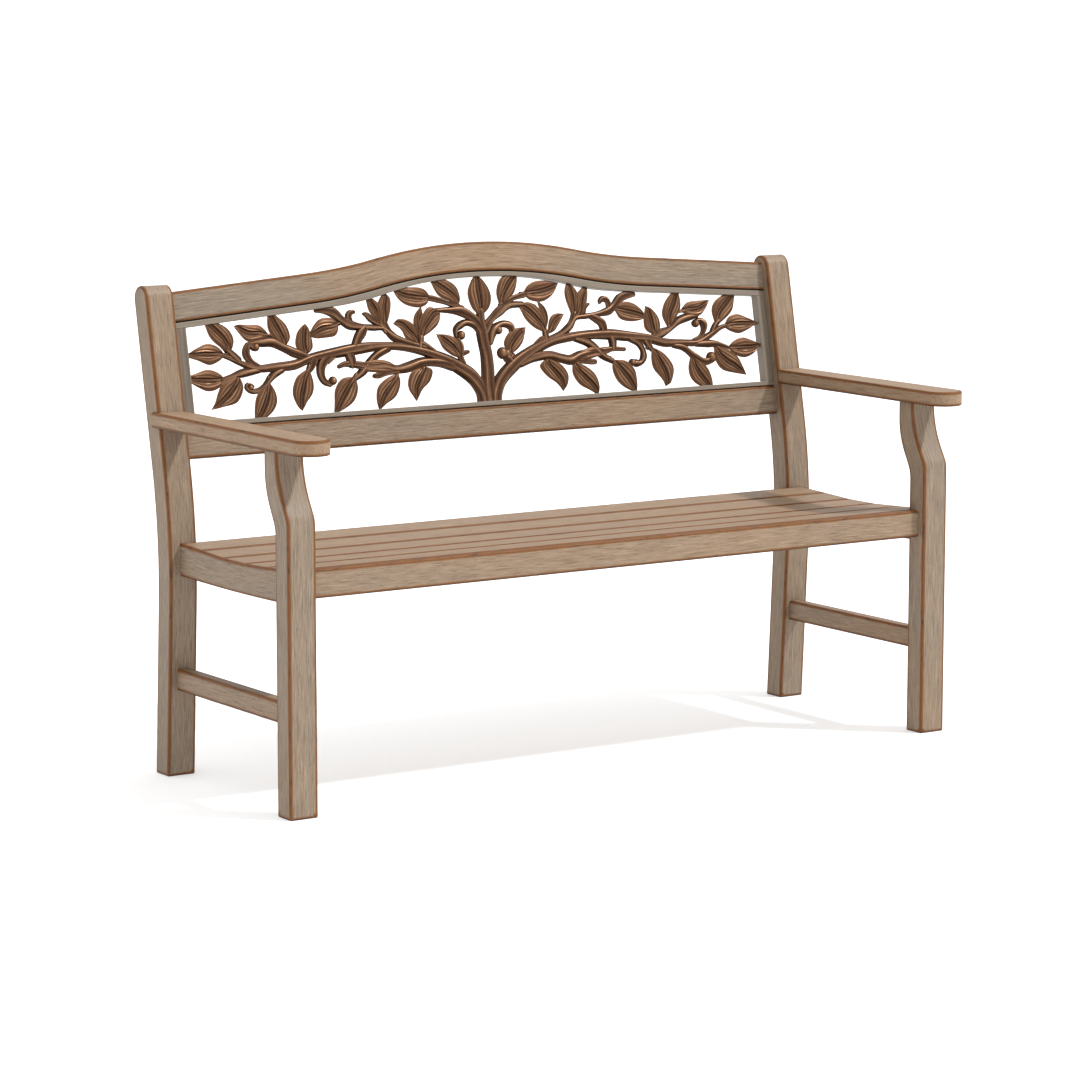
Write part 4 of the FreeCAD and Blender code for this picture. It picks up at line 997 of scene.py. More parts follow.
@dataclass
class PanelStrips:
    """The grey strips that frame the tree, each with a lip behind its shadow gap, in millimetres."""

    rails: BackRails
    gap: float = 2.0
    height: float = 9.0
    lip_overlap: float = 0.5
    left_width: float = 30.0
    right_width: float = 21.0
    front_n: float = 18.8
    back_n: float = 38.8
    lip_n: float = 31.0
    arris: float = 0.0012
    arris_share: float = 0.2
    arris_steps: int = 3
    steps: int = 56
    side_steps: int = 8
    swell: float = 4.0
    swell_x: float = 255.0
    swell_reach: float = 80.0
    end_rise: float = 2.0
    end_start: float = 120.0
    end_run: float = 200.0

    def bar(self, name: str, low: Callable[[float], float], height: Callable[[float], float],
            front_n: float) -> Object:
        """A strip along the back, between two heights up the slope.

        Args:
            name: the piece's name.
            low: how far up the slope its lower edge is, at a place across the back.
            height: its height there.
            front_n: how far back its front is.

        Returns:
            The bar, with no material yet.
        """
        length = 2.0 * INNER_X
        least = height(0.0)
        arris = min(self.arris, self.arris_share * least * MM)
        billet = Billet(length, least * MM, (self.back_n - front_n) * MM, arris=arris,
                        stations=evenly(length, self.steps), arris_steps=self.arris_steps)

        def place(s: float, u: float, v: float) -> Point:
            """Where a point of the straight billet goes."""
            x_mm = (s - INNER_X) / MM
            w_mm = low(x_mm) + (u / (least * MM) + 0.5) * height(x_mm)
            return back_point(x_mm, w_mm, (front_n + self.back_n) / 2.0 + v / MM)
        return billet.fitted(name, place)

    def side_bar(self, side: int, word: str, width: float, sill: float) -> Object:
        """A strip beside a post.

        Args:
            side: -1 for the left and 1 for the right.
            word: the side's name.
            width: its width along the back.
            sill: how far up the slope it starts.

        Returns:
            The strip.
        """
        rise = self.top_underside(INNER_X / MM) - sill
        billet = Billet(rise * MM, width * MM, (self.back_n - self.front_n) * MM, arris=self.arris,
                        stations=evenly(rise * MM, self.side_steps), arris_steps=self.arris_steps)

        def place(s: float, u: float, v: float) -> Point:
            """Where a point of the straight billet goes."""
            x_mm = (INNER_X + u) / MM - width / 2.0
            w_mm = sill + s / MM * (self.top_underside(x_mm) - sill) / rise
            return back_point(x_mm, w_mm, (self.front_n + self.back_n) / 2.0 + v / MM)
        strip = billet.fitted(f"strip_{word}", on_side(side, place))
        return hand_over(strip, STRIP, "grey_strip", f"panel_strip_{word}")

    def top_height(self, x_mm: float) -> float:
        """The top strip's height, which grows where the crest turns from hump to hollow."""
        out = abs(x_mm)
        swell = self.swell * math.exp(-((out - self.swell_x) / self.swell_reach) ** 2)
        return self.height + swell + self.end_rise * min(max(out - self.end_start, 0.0) / self.end_run, 1.0)

    def top_underside(self, x_mm: float) -> float:
        """How far up the slope the top strip's lower edge is."""
        return CREST.height(x_mm) - self.rails.crest_height - self.gap - self.top_height(x_mm)

    def build(self) -> list[Object]:
        """Make the four strips."""
        floor = self.rails.lower_top
        lip = self.gap + self.lip_overlap

        def above_top(x: float) -> float:
            """How far up the slope the top lip's lower edge is."""
            return CREST.height(x) - self.rails.crest_height - lip
        top = [self.bar("strip_top", self.top_underside, self.top_height, self.front_n),
               self.bar("lip", above_top, lambda x: lip, self.lip_n)]
        bottom = [self.bar("strip_bottom", lambda x: floor + self.gap, lambda x: self.height, self.front_n),
                  self.bar("lip", lambda x: floor, lambda x: lip, self.lip_n)]
        strips = [hand_over(joined(top, "strip_top"), STRIP, "grey_strip", "panel_strip_top"),
                  hand_over(joined(bottom, "strip_bottom"), STRIP, "grey_strip", "panel_strip_bottom")]
        widths = (self.left_width, self.right_width)
        strips += [self.side_bar(side, word, width, floor + self.gap + self.height)
                   for (side, word), width in zip(SIDES, widths)]
        return strips


@dataclass
class Seat:
    """The dished seat: slats, side rails, apron and rear rail; y is counted from the front legs' fronts."""

    dish: tuple[tuple[float, float], ...] = (
        (0.039, 0.452), (0.1185, 0.447), (0.2015, 0.443), (0.2845, 0.443), (0.3675, 0.447), (0.448, 0.4505))
    gap: float = 0.005
    thickness: float = 0.018
    half_length: float = 0.732
    slat_arris: float = 0.0024
    slat_wear: float = 0.003
    slat_warmth: float = 0.85
    slat_steps: int = 8
    rail_outer_x: float = 0.738
    rail_thickness: float = 0.027
    rail_depth: float = 0.062
    rail_bottom: float = 0.389
    rail_arch: float = 0.003
    rail_steps: int = 40
    rebate_play: float = 0.0004
    rebate_overshoot: float = 0.01
    cutter_width: float = 0.05
    cross_warmth: float = 0.6

    def height(self, y: float) -> float:
        """The height of the seat's surface at a place behind the front legs' faces."""
        for (y_low, z_low), (y_high, z_high) in zip(self.dish, self.dish[1:]):
            if y <= y_high:
                break
        return z_low + (z_high - z_low) * (y - y_low) / (y_high - y_low)

    def slat(self, index: int) -> Object:
        """One slat, counted from the front."""
        half_gap = self.gap / 2.0
        y_low = self.dish[index][0] + (half_gap if index else 0.0)
        y_high = self.dish[index + 1][0] - (half_gap if index < len(self.dish) - 2 else 0.0)
        length = 2.0 * self.half_length
        billet = Billet(length, y_high - y_low, self.thickness, arris=self.slat_arris,
                        stations=evenly(length, self.slat_steps), warmth=self.slat_warmth,
                        wear=self.slat_wear if index else 0.0)

        def place(s: float, u: float, v: float) -> Point:
            """Where a point of the straight billet goes."""
            y = (y_low + y_high) / 2.0 + u
            return s - self.half_length, FRONT_Y + y, self.height(y) - self.thickness / 2.0 + v
        slat = billet.fitted(f"slat_{index + 1}", place)
        return hand_over(slat, WOOD, "weathered_wood", f"seat_slat_{index + 1}")

    def side_rail(self, side: int, word: str) -> Object:
        """One side rail, dished on top and rebated for the ends of the slats."""
        start_y, end_y = LEG_DEPTH - LET_IN, POST_FOOT_Y - FRONT_Y + LET_IN
        length = end_y - start_y
        half_depth = self.rail_depth / 2.0
        middle_x = self.rail_outer_x - self.rail_thickness / 2.0
        billet = Billet(length, self.rail_thickness, self.rail_depth, arris=self.slat_arris,
                        stations=evenly(length, self.rail_steps))
        rail = billet.sawn(f"rail_side_{word}")
        self.cut_rebate(rail, length, self.half_length + self.rebate_play - middle_x)

        def place(s: float, u: float, v: float) -> Point:
            """Where a point of the straight billet goes."""
            y = start_y + s
            bottom = self.rail_bottom - self.rail_arch * (1.0 - (2.0 * s / length - 1.0) ** 2)
            middle = self.height(y) - half_depth
            z = middle + (v if v > 0.0 else (middle - bottom) * v / half_depth)
            return middle_x + u, FRONT_Y + y, z
        billet.bent(rail, on_side(side, place))
        return hand_over(rail, WOOD, "weathered_wood", f"side_seat_rail_{word}")

    def cut_rebate(self, rail: Object, length: float, inner_u: float) -> None:
        """Take away a straight side rail's inner top edge, where the slats' ends lie.

        Args:
            rail: the straight rail.
            length: its length.
            inner_u: how far across it the rebate reaches.
        """
        cutter = block("rebate_cutter",
                       (length + 2.0 * self.rebate_overshoot, self.cutter_width, 2.0 * self.thickness),
                       (length / 2.0, inner_u - self.cutter_width / 2.0, self.rail_depth / 2.0))
        cut = rail.modifiers.new("rebate", "BOOLEAN")
        cut.object = cutter
        cut.solver = "EXACT"
        apply_all(rail)
        bpy.data.objects.remove(cutter)

    def cross_rail(self, name: str, node: str) -> Object:
        """A straight rail across the bench, as large as its node without its tenons."""
        low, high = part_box(node)
        length = 2.0 * INNER_X
        billet = Billet(length, high.y - low.y, high.z - low.z, warmth=self.cross_warmth,
                        stations=evenly(length, self.slat_steps))

        def place(s: float, u: float, v: float) -> Point:
            """Where a point of the straight billet goes."""
            return s - INNER_X, (low.y + high.y) / 2.0 + u, (low.z + high.z) / 2.0 + v
        return hand_over(billet.fitted(name, place), WOOD, "weathered_wood", node)

    def build(self) -> list[Object]:
        """Make every visible timber of the seat."""
        pieces = [self.slat(index) for index in range(len(self.dish) - 1)]
        pieces += [self.side_rail(side, word) for side, word in SIDES]
        pieces.append(self.cross_rail("apron_front", "front_apron"))
        pieces.append(self.cross_rail("rail_rear_seat", "rear_seat_rail"))
        return pieces


@dataclass
class Stretchers:
    """The low rails between the front legs and the back posts."""

    outer_x: float = 0.743
    thickness: float = 0.027
    bottom: float = 0.1675
    top: float = 0.2085
    warmth: float = 0.7
    steps: int = 6

    def build(self) -> list[Object]:
        """Make both stretchers."""
        start_y = FRONT_Y + LEG_DEPTH - LET_IN
        length = POST_FOOT_Y - start_y
        billet = Billet(length, self.thickness, self.top - self.bottom, warmth=self.warmth,
                        stations=evenly(length, self.steps))

        def place(s: float, u: float, v: float) -> Point:
            """Where a point of the straight billet goes."""
            return self.outer_x - self.thickness / 2.0 + u, start_y + s, (self.bottom + self.top) / 2.0 + v
        return billet.pair("stretcher", "side_stretcher", place)


@dataclass
class Arms:
    """The flat arms, round in front and narrower behind, where they meet the posts."""

    inner_front_x: float = 0.690
    inner_back_x: float = 0.7028
    outer_x: float = 0.765
    front_y: float = -0.060
    back_y: float = 0.504
    nose_flat: float = 0.0005
    warmth: float = 1.1
    steps: int = 12

    def build(self) -> list[Object]:
        """Make both arms."""
        width = self.outer_x - self.inner_front_x
        length = self.back_y - self.front_y
        straight = length - width / 2.0
        billet = Billet(length, width, ARM_THICKNESS, Nose.ROUND_ACROSS_WIDTH, width / 2.0 - self.nose_flat,
                        warmth=self.warmth, stations=evenly(length, self.steps))

        def place(s: float, u: float, v: float) -> Point:
            """Where a point of the straight billet goes."""
            narrowed = (self.inner_back_x - self.inner_front_x) * np.clip(1.0 - s / straight, 0.0, 1.0)
            x = self.outer_x - (width / 2.0 - u) * (1.0 - narrowed / width)
            return x, FRONT_Y + self.back_y - s, ARM_UNDERSIDE + ARM_THICKNESS / 2.0 + v
        return billet.pair("arm", "armrest", place)


@dataclass
class HiddenFixings:
    """The bearer, screws, dowels, pins and plugs, most of them buried in the timber."""

    plug_proud: float = 0.0004
    plug_length: float = 0.014
    plug_sides: int = 32
    plug_bevel: float = 0.0005
    bevel_steps: int = 3
    rim_reach: float = 0.0022
    plug_warmth: float = 0.7
    plug_tones: tuple[float, float] = (0.1, 0.5)
    smooth_degrees: float = 40.0

    def plug(self, side: int, tone: float) -> Object:
        """One round plug in the back of a post."""
        low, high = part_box("arm_screw_plugs")
        radius = (high.z - low.z) / 2.0
        plug = added(bpy.ops.mesh.primitive_cylinder_add, "plug", vertices=self.plug_sides, radius=radius,
                     depth=self.plug_length, location=(0.0, 0.0, self.plug_proud - self.plug_length / 2.0))
        bpy.ops.object.transform_apply(location=True, rotation=True, scale=True)
        with editing(plug, "FACE") as mesh:
            select(plug, [face for face in mesh.faces if face.normal.z > ALIGNED])
            bpy.ops.mesh.bevel(offset=self.plug_bevel, segments=self.bevel_steps, affect="EDGES")
        places = points_of(plug)
        store(plug, "grain", places[:, [2, 0, 1]])
        store(plug, "arris", np.clip(radius - np.hypot(*places[:, :2].T) + self.rim_reach, 0.0, SOFT_BAND))
        store_even(plug, "warm", self.plug_warmth)
        store_even(plug, "tone", tone)
        z = (low.z + high.z) / 2.0
        y = BACK_FOOT_Y + (z - BACK_FOOT_Z) * math.tan(POST_LEAN) + POST_DEPTH / math.cos(POST_LEAN)
        turned = Matrix.Rotation(-math.pi / 2.0 - POST_LEAN, 4, "X")
        plug.data.transform(Matrix.Translation(Vector((side * (high.x - radius), y, z))) @ turned)
        close_and_smooth(plug, TINY, self.smooth_degrees)
        return plug

    def build(self) -> list[Object]:
        """Make the plugs that close the screw holes, and give the buried nodes their finishes."""
        finishes = {"slat_screws": STEEL, "tree_pins": STEEL, "arm_screws": STEEL, "panel_dowels": BEECH,
                    "arm_dowels": BEECH, "seat_bearer": BEECH}
        for node, finish in finishes.items():
            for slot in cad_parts[node].material_slots:
                slot.material = finish.material()
        plugs = [self.plug(side, tone) for (side, _), tone in zip(SIDES, self.plug_tones)]
        return [hand_over(joined(plugs, "plugs_post"), WOOD, "dowel_wood", "arm_screw_plugs")]


# The tree as drawn in the plane of the back, in millimetres
# A limb is a run of places: x, w and its width there
LEFT_LIMBS = {
    "trunk": [(-3, 80, 44), (-2, 120, 36), (1.2, 150, 33.5), (1.7, 180, 30.5), (-1, 205, 30),
        (-2, 228, 32), (-4, 248, 22), (-1.5, 268, 18)],
    "bough": [(-15, 80, 34), (-18.5, 108, 31.5), (-37.5, 138, 33.5), (-70, 161, 29.5), (-105, 180, 24.2),
        (-150, 196.8, 19), (-200, 207.6, 17.5), (-250, 210.5, 20), (-300, 207.7, 24.8), (-350, 202.5, 22),
        (-400, 196, 19), (-440, 184.5, 21), (-485, 182.3, 19), (-525, 182, 16.5), (-557, 194, 13),
        (-585, 207, 10), (-606, 214, 7)],
    "low_bough": [(-80.2, 162.5, 23), (-110, 170.8, 20.5), (-150, 173.5, 21), (-184.7, 165.4, 22.7),
        (-212, 162.8, 18.6), (-239.5, 169.6, 22.2), (-270.6, 170.8, 20.5), (-300.1, 177.3, 16.2),
        (-325, 180, 12.9), (-342, 175.2, 9)],
    "bud": [(-205.1, 160.7, 13.3), (-235, 157, 13), (-251.7, 153.5, 15), (-263, 152.5, 11)],
    "cross": [(-224.8, 204.4, 15.3), (-251.6, 194.2, 16.9), (-270.6, 180.7, 15.9), (-288.2, 163.4, 18.4),
        (-309, 149.7, 12.3)],
    "strut": [(-317, 202, 20), (-312.5, 190, 22), (-311, 179, 20)],
    "tie": [(-301, 211, 18), (-293, 226, 20.5), (-283.5, 238, 24), (-274, 248, 16)],
    "upper": [(-140, 201, 12), (-184.7, 215.8, 15.7), (-211.6, 227.5, 18), (-231.3, 244.3, 10.2),
        (-255.1, 247.7, 13.5), (-279.9, 250.5, 13.2), (-305, 255, 20.5), (-325, 266.4, 18),
        (-342.5, 281.8, 22.8), (-362.1, 287.2, 16.7), (-381, 287.1, 9.6)],
    "upper_curl": [(-304.7, 262, 12), (-308.5, 272, 15), (-303.5, 279.5, 14), (-294.5, 280.4, 9)],
    "upper_stem": [(-202.1, 222.9, 14.5), (-219.1, 238.7, 13.3), (-227.7, 256.6, 13)],
    "upper_bud": [(-233, 249.5, 6.4), (-255.3, 262.6, 14), (-266.8, 273.8, 12.1), (-275, 276, 6)],
    "high": [(-4.2, 231.9, 26.3), (-21, 254.1, 22), (-47.6, 270.1, 24.5), (-75.1, 273.6, 14.9),
        (-106, 275.1, 9.1)],
    "high_fork": [(-44.3, 275.5, 13.3), (-78, 288, 10), (-100.2, 295.5, 13.8), (-120, 300.9, 14.9)],
    "scroll": [(-6.7, 224.9, 16.9), (-20.3, 240.6, 15.2), (-38.1, 246.9, 14.4), (-53.5, 242.1, 16.8),
        (-65, 234, 13.1), (-65.8, 221, 9.5)],
    "scroll_spur": [(-60, 182, 7), (-48.2, 186.9, 12.1), (-40.1, 188.3, 8.7)],
    "scroll_stem": [(-56.3, 164.3, 18.4), (-59.1, 180, 13.9), (-57.3, 200.2, 17.5), (-62, 216, 10)],
    "hook": [(-363.7, 196.6, 22.7), (-378.8, 182.4, 21.5), (-383.3, 167.4, 18.7), (-381.1, 154.8, 16),
        (-374.7, 146.6, 14), (-363.2, 141.3, 10.5)],
    "drop": [(-397, 192, 22), (-404, 176, 14), (-416, 165, 8)],
    "sprig": [(-405, 197, 12), (-434.6, 207, 22), (-460.4, 219.3, 19), (-485, 231.8, 22),
        (-509, 232.5, 20), (-532, 233, 9)],
    "loop": [(-517.7, 183.5, 13.3), (-534.9, 195.1, 14.4), (-543.4, 208.7, 18), (-542.6, 219.8, 17.6),
        (-537.1, 229.6, 12.3), (-525, 223.1, 16.1)],
    "low_tip": [(-520, 178.7, 13.5), (-554.9, 175, 18), (-579.9, 169.7, 11.5), (-603.2, 162.3, 14)],
    "high_tip": [(-563, 200, 17), (-579, 216, 15), (-595, 230, 9)],
    "tendril": [(-467.8, 176.6, 13.5), (-486.4, 169, 16.5), (-497, 161, 15.5), (-505, 152.5, 13.5),
        (-513, 145.5, 12.5), (-524, 140, 12), (-536, 138.5, 12), (-546, 142, 11), (-551, 148, 9.5),
        (-547.5, 153, 8.5), (-540, 151, 8), (-534.5, 147.5, 6)],
    "fan_stem": [(-152, 203, 18), (-146, 224, 12)],
    "hook_root": [(-352, 196, 14), (-364, 186.5, 12)],
    "fan_root": [(-148, 212, 14), (-133, 204, 12), (-116, 192, 10)],
}
RIGHT_LIMBS = {
    "bough": [(11, 80, 33), (16, 106, 33), (32.5, 131.5, 30), (66.5, 158, 29.5), (100, 177, 24.5),
        (150, 196.5, 22.5), (190, 203.3, 20.5), (240, 207.4, 20), (300, 206, 23), (350, 199.4, 22.5),
        (400, 192, 21), (440, 181.6, 21), (480, 179.5, 15.5), (520, 177.5, 16), (545, 186.5, 16),
        (565, 196, 14), (585, 205.5, 11), (606, 210, 8)],
    "low_bough": [(80.3, 161.1, 23.8), (110.1, 168.3, 20.5), (150, 171.1, 19.4), (180.2, 162.8, 21),
        (202, 158.6, 22.7), (224.8, 166.7, 19.5), (255, 172, 15), (284.9, 174.2, 13.4),
        (312, 175.8, 11.5), (337.3, 173.5, 10)],
    "bud": [(200, 159.1, 12.2), (230, 155, 12), (248, 152.8, 13), (262, 151.5, 12)],
    "cross": [(219.5, 202.7, 16.8), (247, 192.5, 18.5), (263.6, 180.1, 19.3), (281.8, 163.1, 16.6),
        (305.2, 151.2, 13.6)],
    "strut": [(308, 202, 20), (310, 190, 19.5), (309, 178, 17)],
    "tie": [(292, 210, 17), (288, 229.2, 20.3), (274.2, 238.8, 17.8), (261.5, 245.9, 15.2)],
    "upper": [(140, 200, 12), (180.2, 211.6, 13.1), (206.2, 225.4, 17.3), (224, 243.1, 11.8),
        (250, 245.7, 12.6), (279.9, 248.7, 12.6), (306, 253.5, 20), (322.3, 264.3, 17),
        (338.3, 278.3, 21.5), (355.4, 283.5, 18.9), (375, 284.5, 11)],
    "upper_curl": [(310, 262, 14), (307.5, 273.5, 14), (298.5, 279.5, 15), (290, 276, 12), (287, 270.5, 7)],
    "upper_stem": [(204.9, 222.6, 14.6), (216.3, 241.8, 12.3), (222.3, 261.9, 9.3)],
    "upper_bud": [(245.4, 253.3, 11), (250.9, 263.2, 8.4), (261, 271, 6.5)],
    "high": [(2, 230, 28), (22, 251, 18), (43.9, 266.3, 21.6), (68, 277, 16), (100, 277, 13)],
    "high_fork": [(45, 277, 10), (76, 290, 12), (106.8, 296.8, 15.1)],
    "scroll": [(13, 206, 18), (20, 225, 25), (38, 238, 15), (54, 239.5, 16), (67.5, 232.5, 19),
        (66.5, 219, 13)],
    "scroll_stem": [(60, 160, 16), (50.3, 170.9, 22)],
    "hook": [(356.2, 197.3, 23.4), (372.5, 185.5, 16.5), (382.2, 170.3, 13.5), (382.7, 155.1, 16.5),
        (374.2, 144.4, 13.2), (361.8, 143.4, 17.6), (354.7, 145.4, 13.9)],
    "drop": [(391, 191, 18), (400, 176, 14), (409, 165, 8)],
    "sprig": [(408, 194, 13), (434, 202, 20), (455, 209.5, 14), (478, 224.5, 18), (503, 231, 18),
        (529, 233, 9)],
    "loop": [(512.8, 181.4, 12.9), (530.7, 189.1, 11.6), (541, 202, 15), (542.5, 215.5, 21.7),
        (533, 224, 11), (521, 221, 10)],
    "low_tip": [(518, 175.4, 14.3), (549, 174, 18), (573.4, 171.5, 14.1), (602.1, 162.3, 8.8)],
    "high_tip": [(563, 199, 13), (576, 215, 13), (591, 224, 9)],
    "tendril": [(460.1, 175.1, 13), (483, 170, 16), (499, 158.5, 16.5), (511.7, 148.3, 20),
        (527, 139.5, 18), (540, 136.8, 18), (554, 140, 16)],
    "fan_stem": [(150, 200, 18), (147, 220, 12)],
    "fan_tip": [(110, 276, 11), (129, 272, 9)],
    "scroll_stem_root": [(62, 170, 16), (66, 177, 9)],
    "fan_root": [(150, 205, 14), (137, 206, 10), (120, 195, 8)],
    "hook_root": [(398, 187, 18), (396, 173, 11)],
}
# Round ends of the scrolls: x, w and radius
KNOBS = [(-53.4, 222.3, 9.5), (-358.4, 148.7, 8.9), (-522.2, 223.4, 8.6), (36, 228, 9), (40, 181.5, 12.5),
         (353, 145.7, 7.7), (522, 217.4, 8.7), (553.5, 145, 12), (50, 180.5, 9.5), (-542, 146, 6.5)]
# A leaf is its base, places along one side, its tip, and places along the other side from base to tip
LEFT_LEAVES = {
    "crown": [(-4, 256), [(-22, 272.5), (-30, 292), (-30, 310), (-19.1, 329.1)], (-5, 343),
        [(17.1, 273.7), (24.3, 293.9), (19.8, 314), (8, 332.1)]],
    "high_upper": [(-51, 281), [(-75, 291), (-97, 301), (-108.1, 318)], (-114, 338), [(-48.5, 298.1),
        (-55.5, 319.1), (-76.7, 333.8)]],
    "high_long": [(-118, 300), [(-129.5, 286.2), (-150.1, 281.7), (-177.2, 288.7), (-194.4, 303.2)],
        (-201, 321), [(-126.4, 315), (-144.6, 322.1), (-175, 323)]],
    "high_fan": [(-147, 221), [(-126.4, 232.1), (-108, 245.3), (-99, 260.9)], (-97, 273), [(-152, 243),
        (-144, 264), (-124, 282)]],
    "high_blade": [(-152, 222), [(-163, 247), (-158.6, 268.4)], (-139, 285), [(-140, 240), (-139, 262)]],
    "scroll_leaf": [(-61, 176), [(-81.3, 182.8), (-100.3, 196.9), (-107.8, 213.6)], (-111, 228),
        [(-58, 196), (-64, 213), (-83.4, 223.9)]],
    "curl_leaf": [(-155, 208), [(-184, 221), (-193.1, 238.8)], (-208.2, 253), [(-160, 243),
        (-177.8, 258.5), (-197.2, 261.8)]],
    "bough_leaf_1": [(-148, 166), [(-178, 157), (-190, 140), (-189.5, 119.8)], (-172, 96.5),
        [(-130.5, 156.5), (-139, 135.2), (-159.5, 118)]],
    "bough_leaf_2": [(-208, 156), [(-235.3, 147.5), (-259.6, 131.2), (-265.9, 106)], (-260, 84),
        [(-207.7, 132.6), (-221, 109.5), (-244.4, 95.6)]],
    "bough_leaf_3": [(-308, 154), [(-338, 151.9), (-356.6, 132.3), (-361.2, 106)], (-363, 84),
        [(-304.5, 129.7), (-316.2, 106.3), (-341.1, 91.2)]],
    "bough_leaf_4": [(-410, 177), [(-440.1, 160.1), (-452.6, 132), (-445.5, 106.3)], (-432.7, 93.7),
        [(-403.5, 150.1), (-406.8, 128.3), (-422.8, 109.3)]],
    "upper_flat": [(-332, 259), [(-350, 271), (-375.3, 270.7), (-392.3, 257.1)], (-402, 240),
        [(-342.6, 237.1), (-367.9, 232.7), (-390.3, 233.1)]],
    "bough_top": [(-412, 201), [(-434, 218), (-431, 241.9), (-419.3, 256.1)], (-406.7, 263.6),
        [(-397.1, 214.6), (-397, 236), (-400.9, 252.4)]],
    "upper_twin_1": [(-232, 246), [(-250, 264), (-263.8, 283.5)], (-266, 314), [(-233, 278),
        (-240.5, 297)]],
    "upper_twin_2": [(-228, 243), [(-241, 272), (-243, 291), (-232.5, 307.4)], (-220, 316),
        [(-220.2, 262.1), (-212.5, 284.9), (-211.3, 303.4)]],
    "sprig_long": [(-488, 244), [(-509.1, 263.9), (-534.9, 266.9), (-554, 268.7)], (-565, 266.6),
        [(-515, 236), (-539.5, 234.5), (-555.6, 249.8)]],
    "sprig_high": [(-458, 219), [(-482, 238), (-492.7, 260)], (-488, 294), [(-444.8, 237.7),
        (-450.9, 262.2), (-470.4, 281.7)]],
    "tip_high": [(-579, 213), [(-606, 231), (-620.6, 246.6), (-627.2, 265.3)], (-630, 284),
        [(-569.3, 238), (-578.5, 260.2), (-602, 275)]],
    "tip_upper": [(-590, 212), [(-606, 228), (-628.1, 235.1), (-652.9, 227.5), (-670, 219)], (-688, 214),
        [(-604.6, 201.1), (-628.1, 193.9), (-652.2, 203.6), (-670, 210)]],
    "tip_lower": [(-596, 165), [(-609.3, 178.1), (-631.9, 185.9), (-655, 180.9)], (-686, 172),
        [(-611.5, 149.2), (-634.2, 143.8), (-656.4, 152.4)]],
    "tip_low": [(-565, 172), [(-602, 158.5), (-615.3, 140.7), (-623.4, 121.7)], (-631.9, 108.1),
        [(-559, 146), (-574.7, 120), (-605.9, 112.2)]],
    "tendril_leaf": [(-502, 158), [(-530, 133), (-539.2, 108.2)], (-542, 74), [(-489.1, 132.5),
        (-490.1, 110.7), (-506.8, 91.2)]],
    "low_bud": [(-206, 161), [(-224, 177), (-252, 184), (-285, 181)], (-318, 178), [(-222, 157),
        (-255, 158), (-290, 166)]],
}
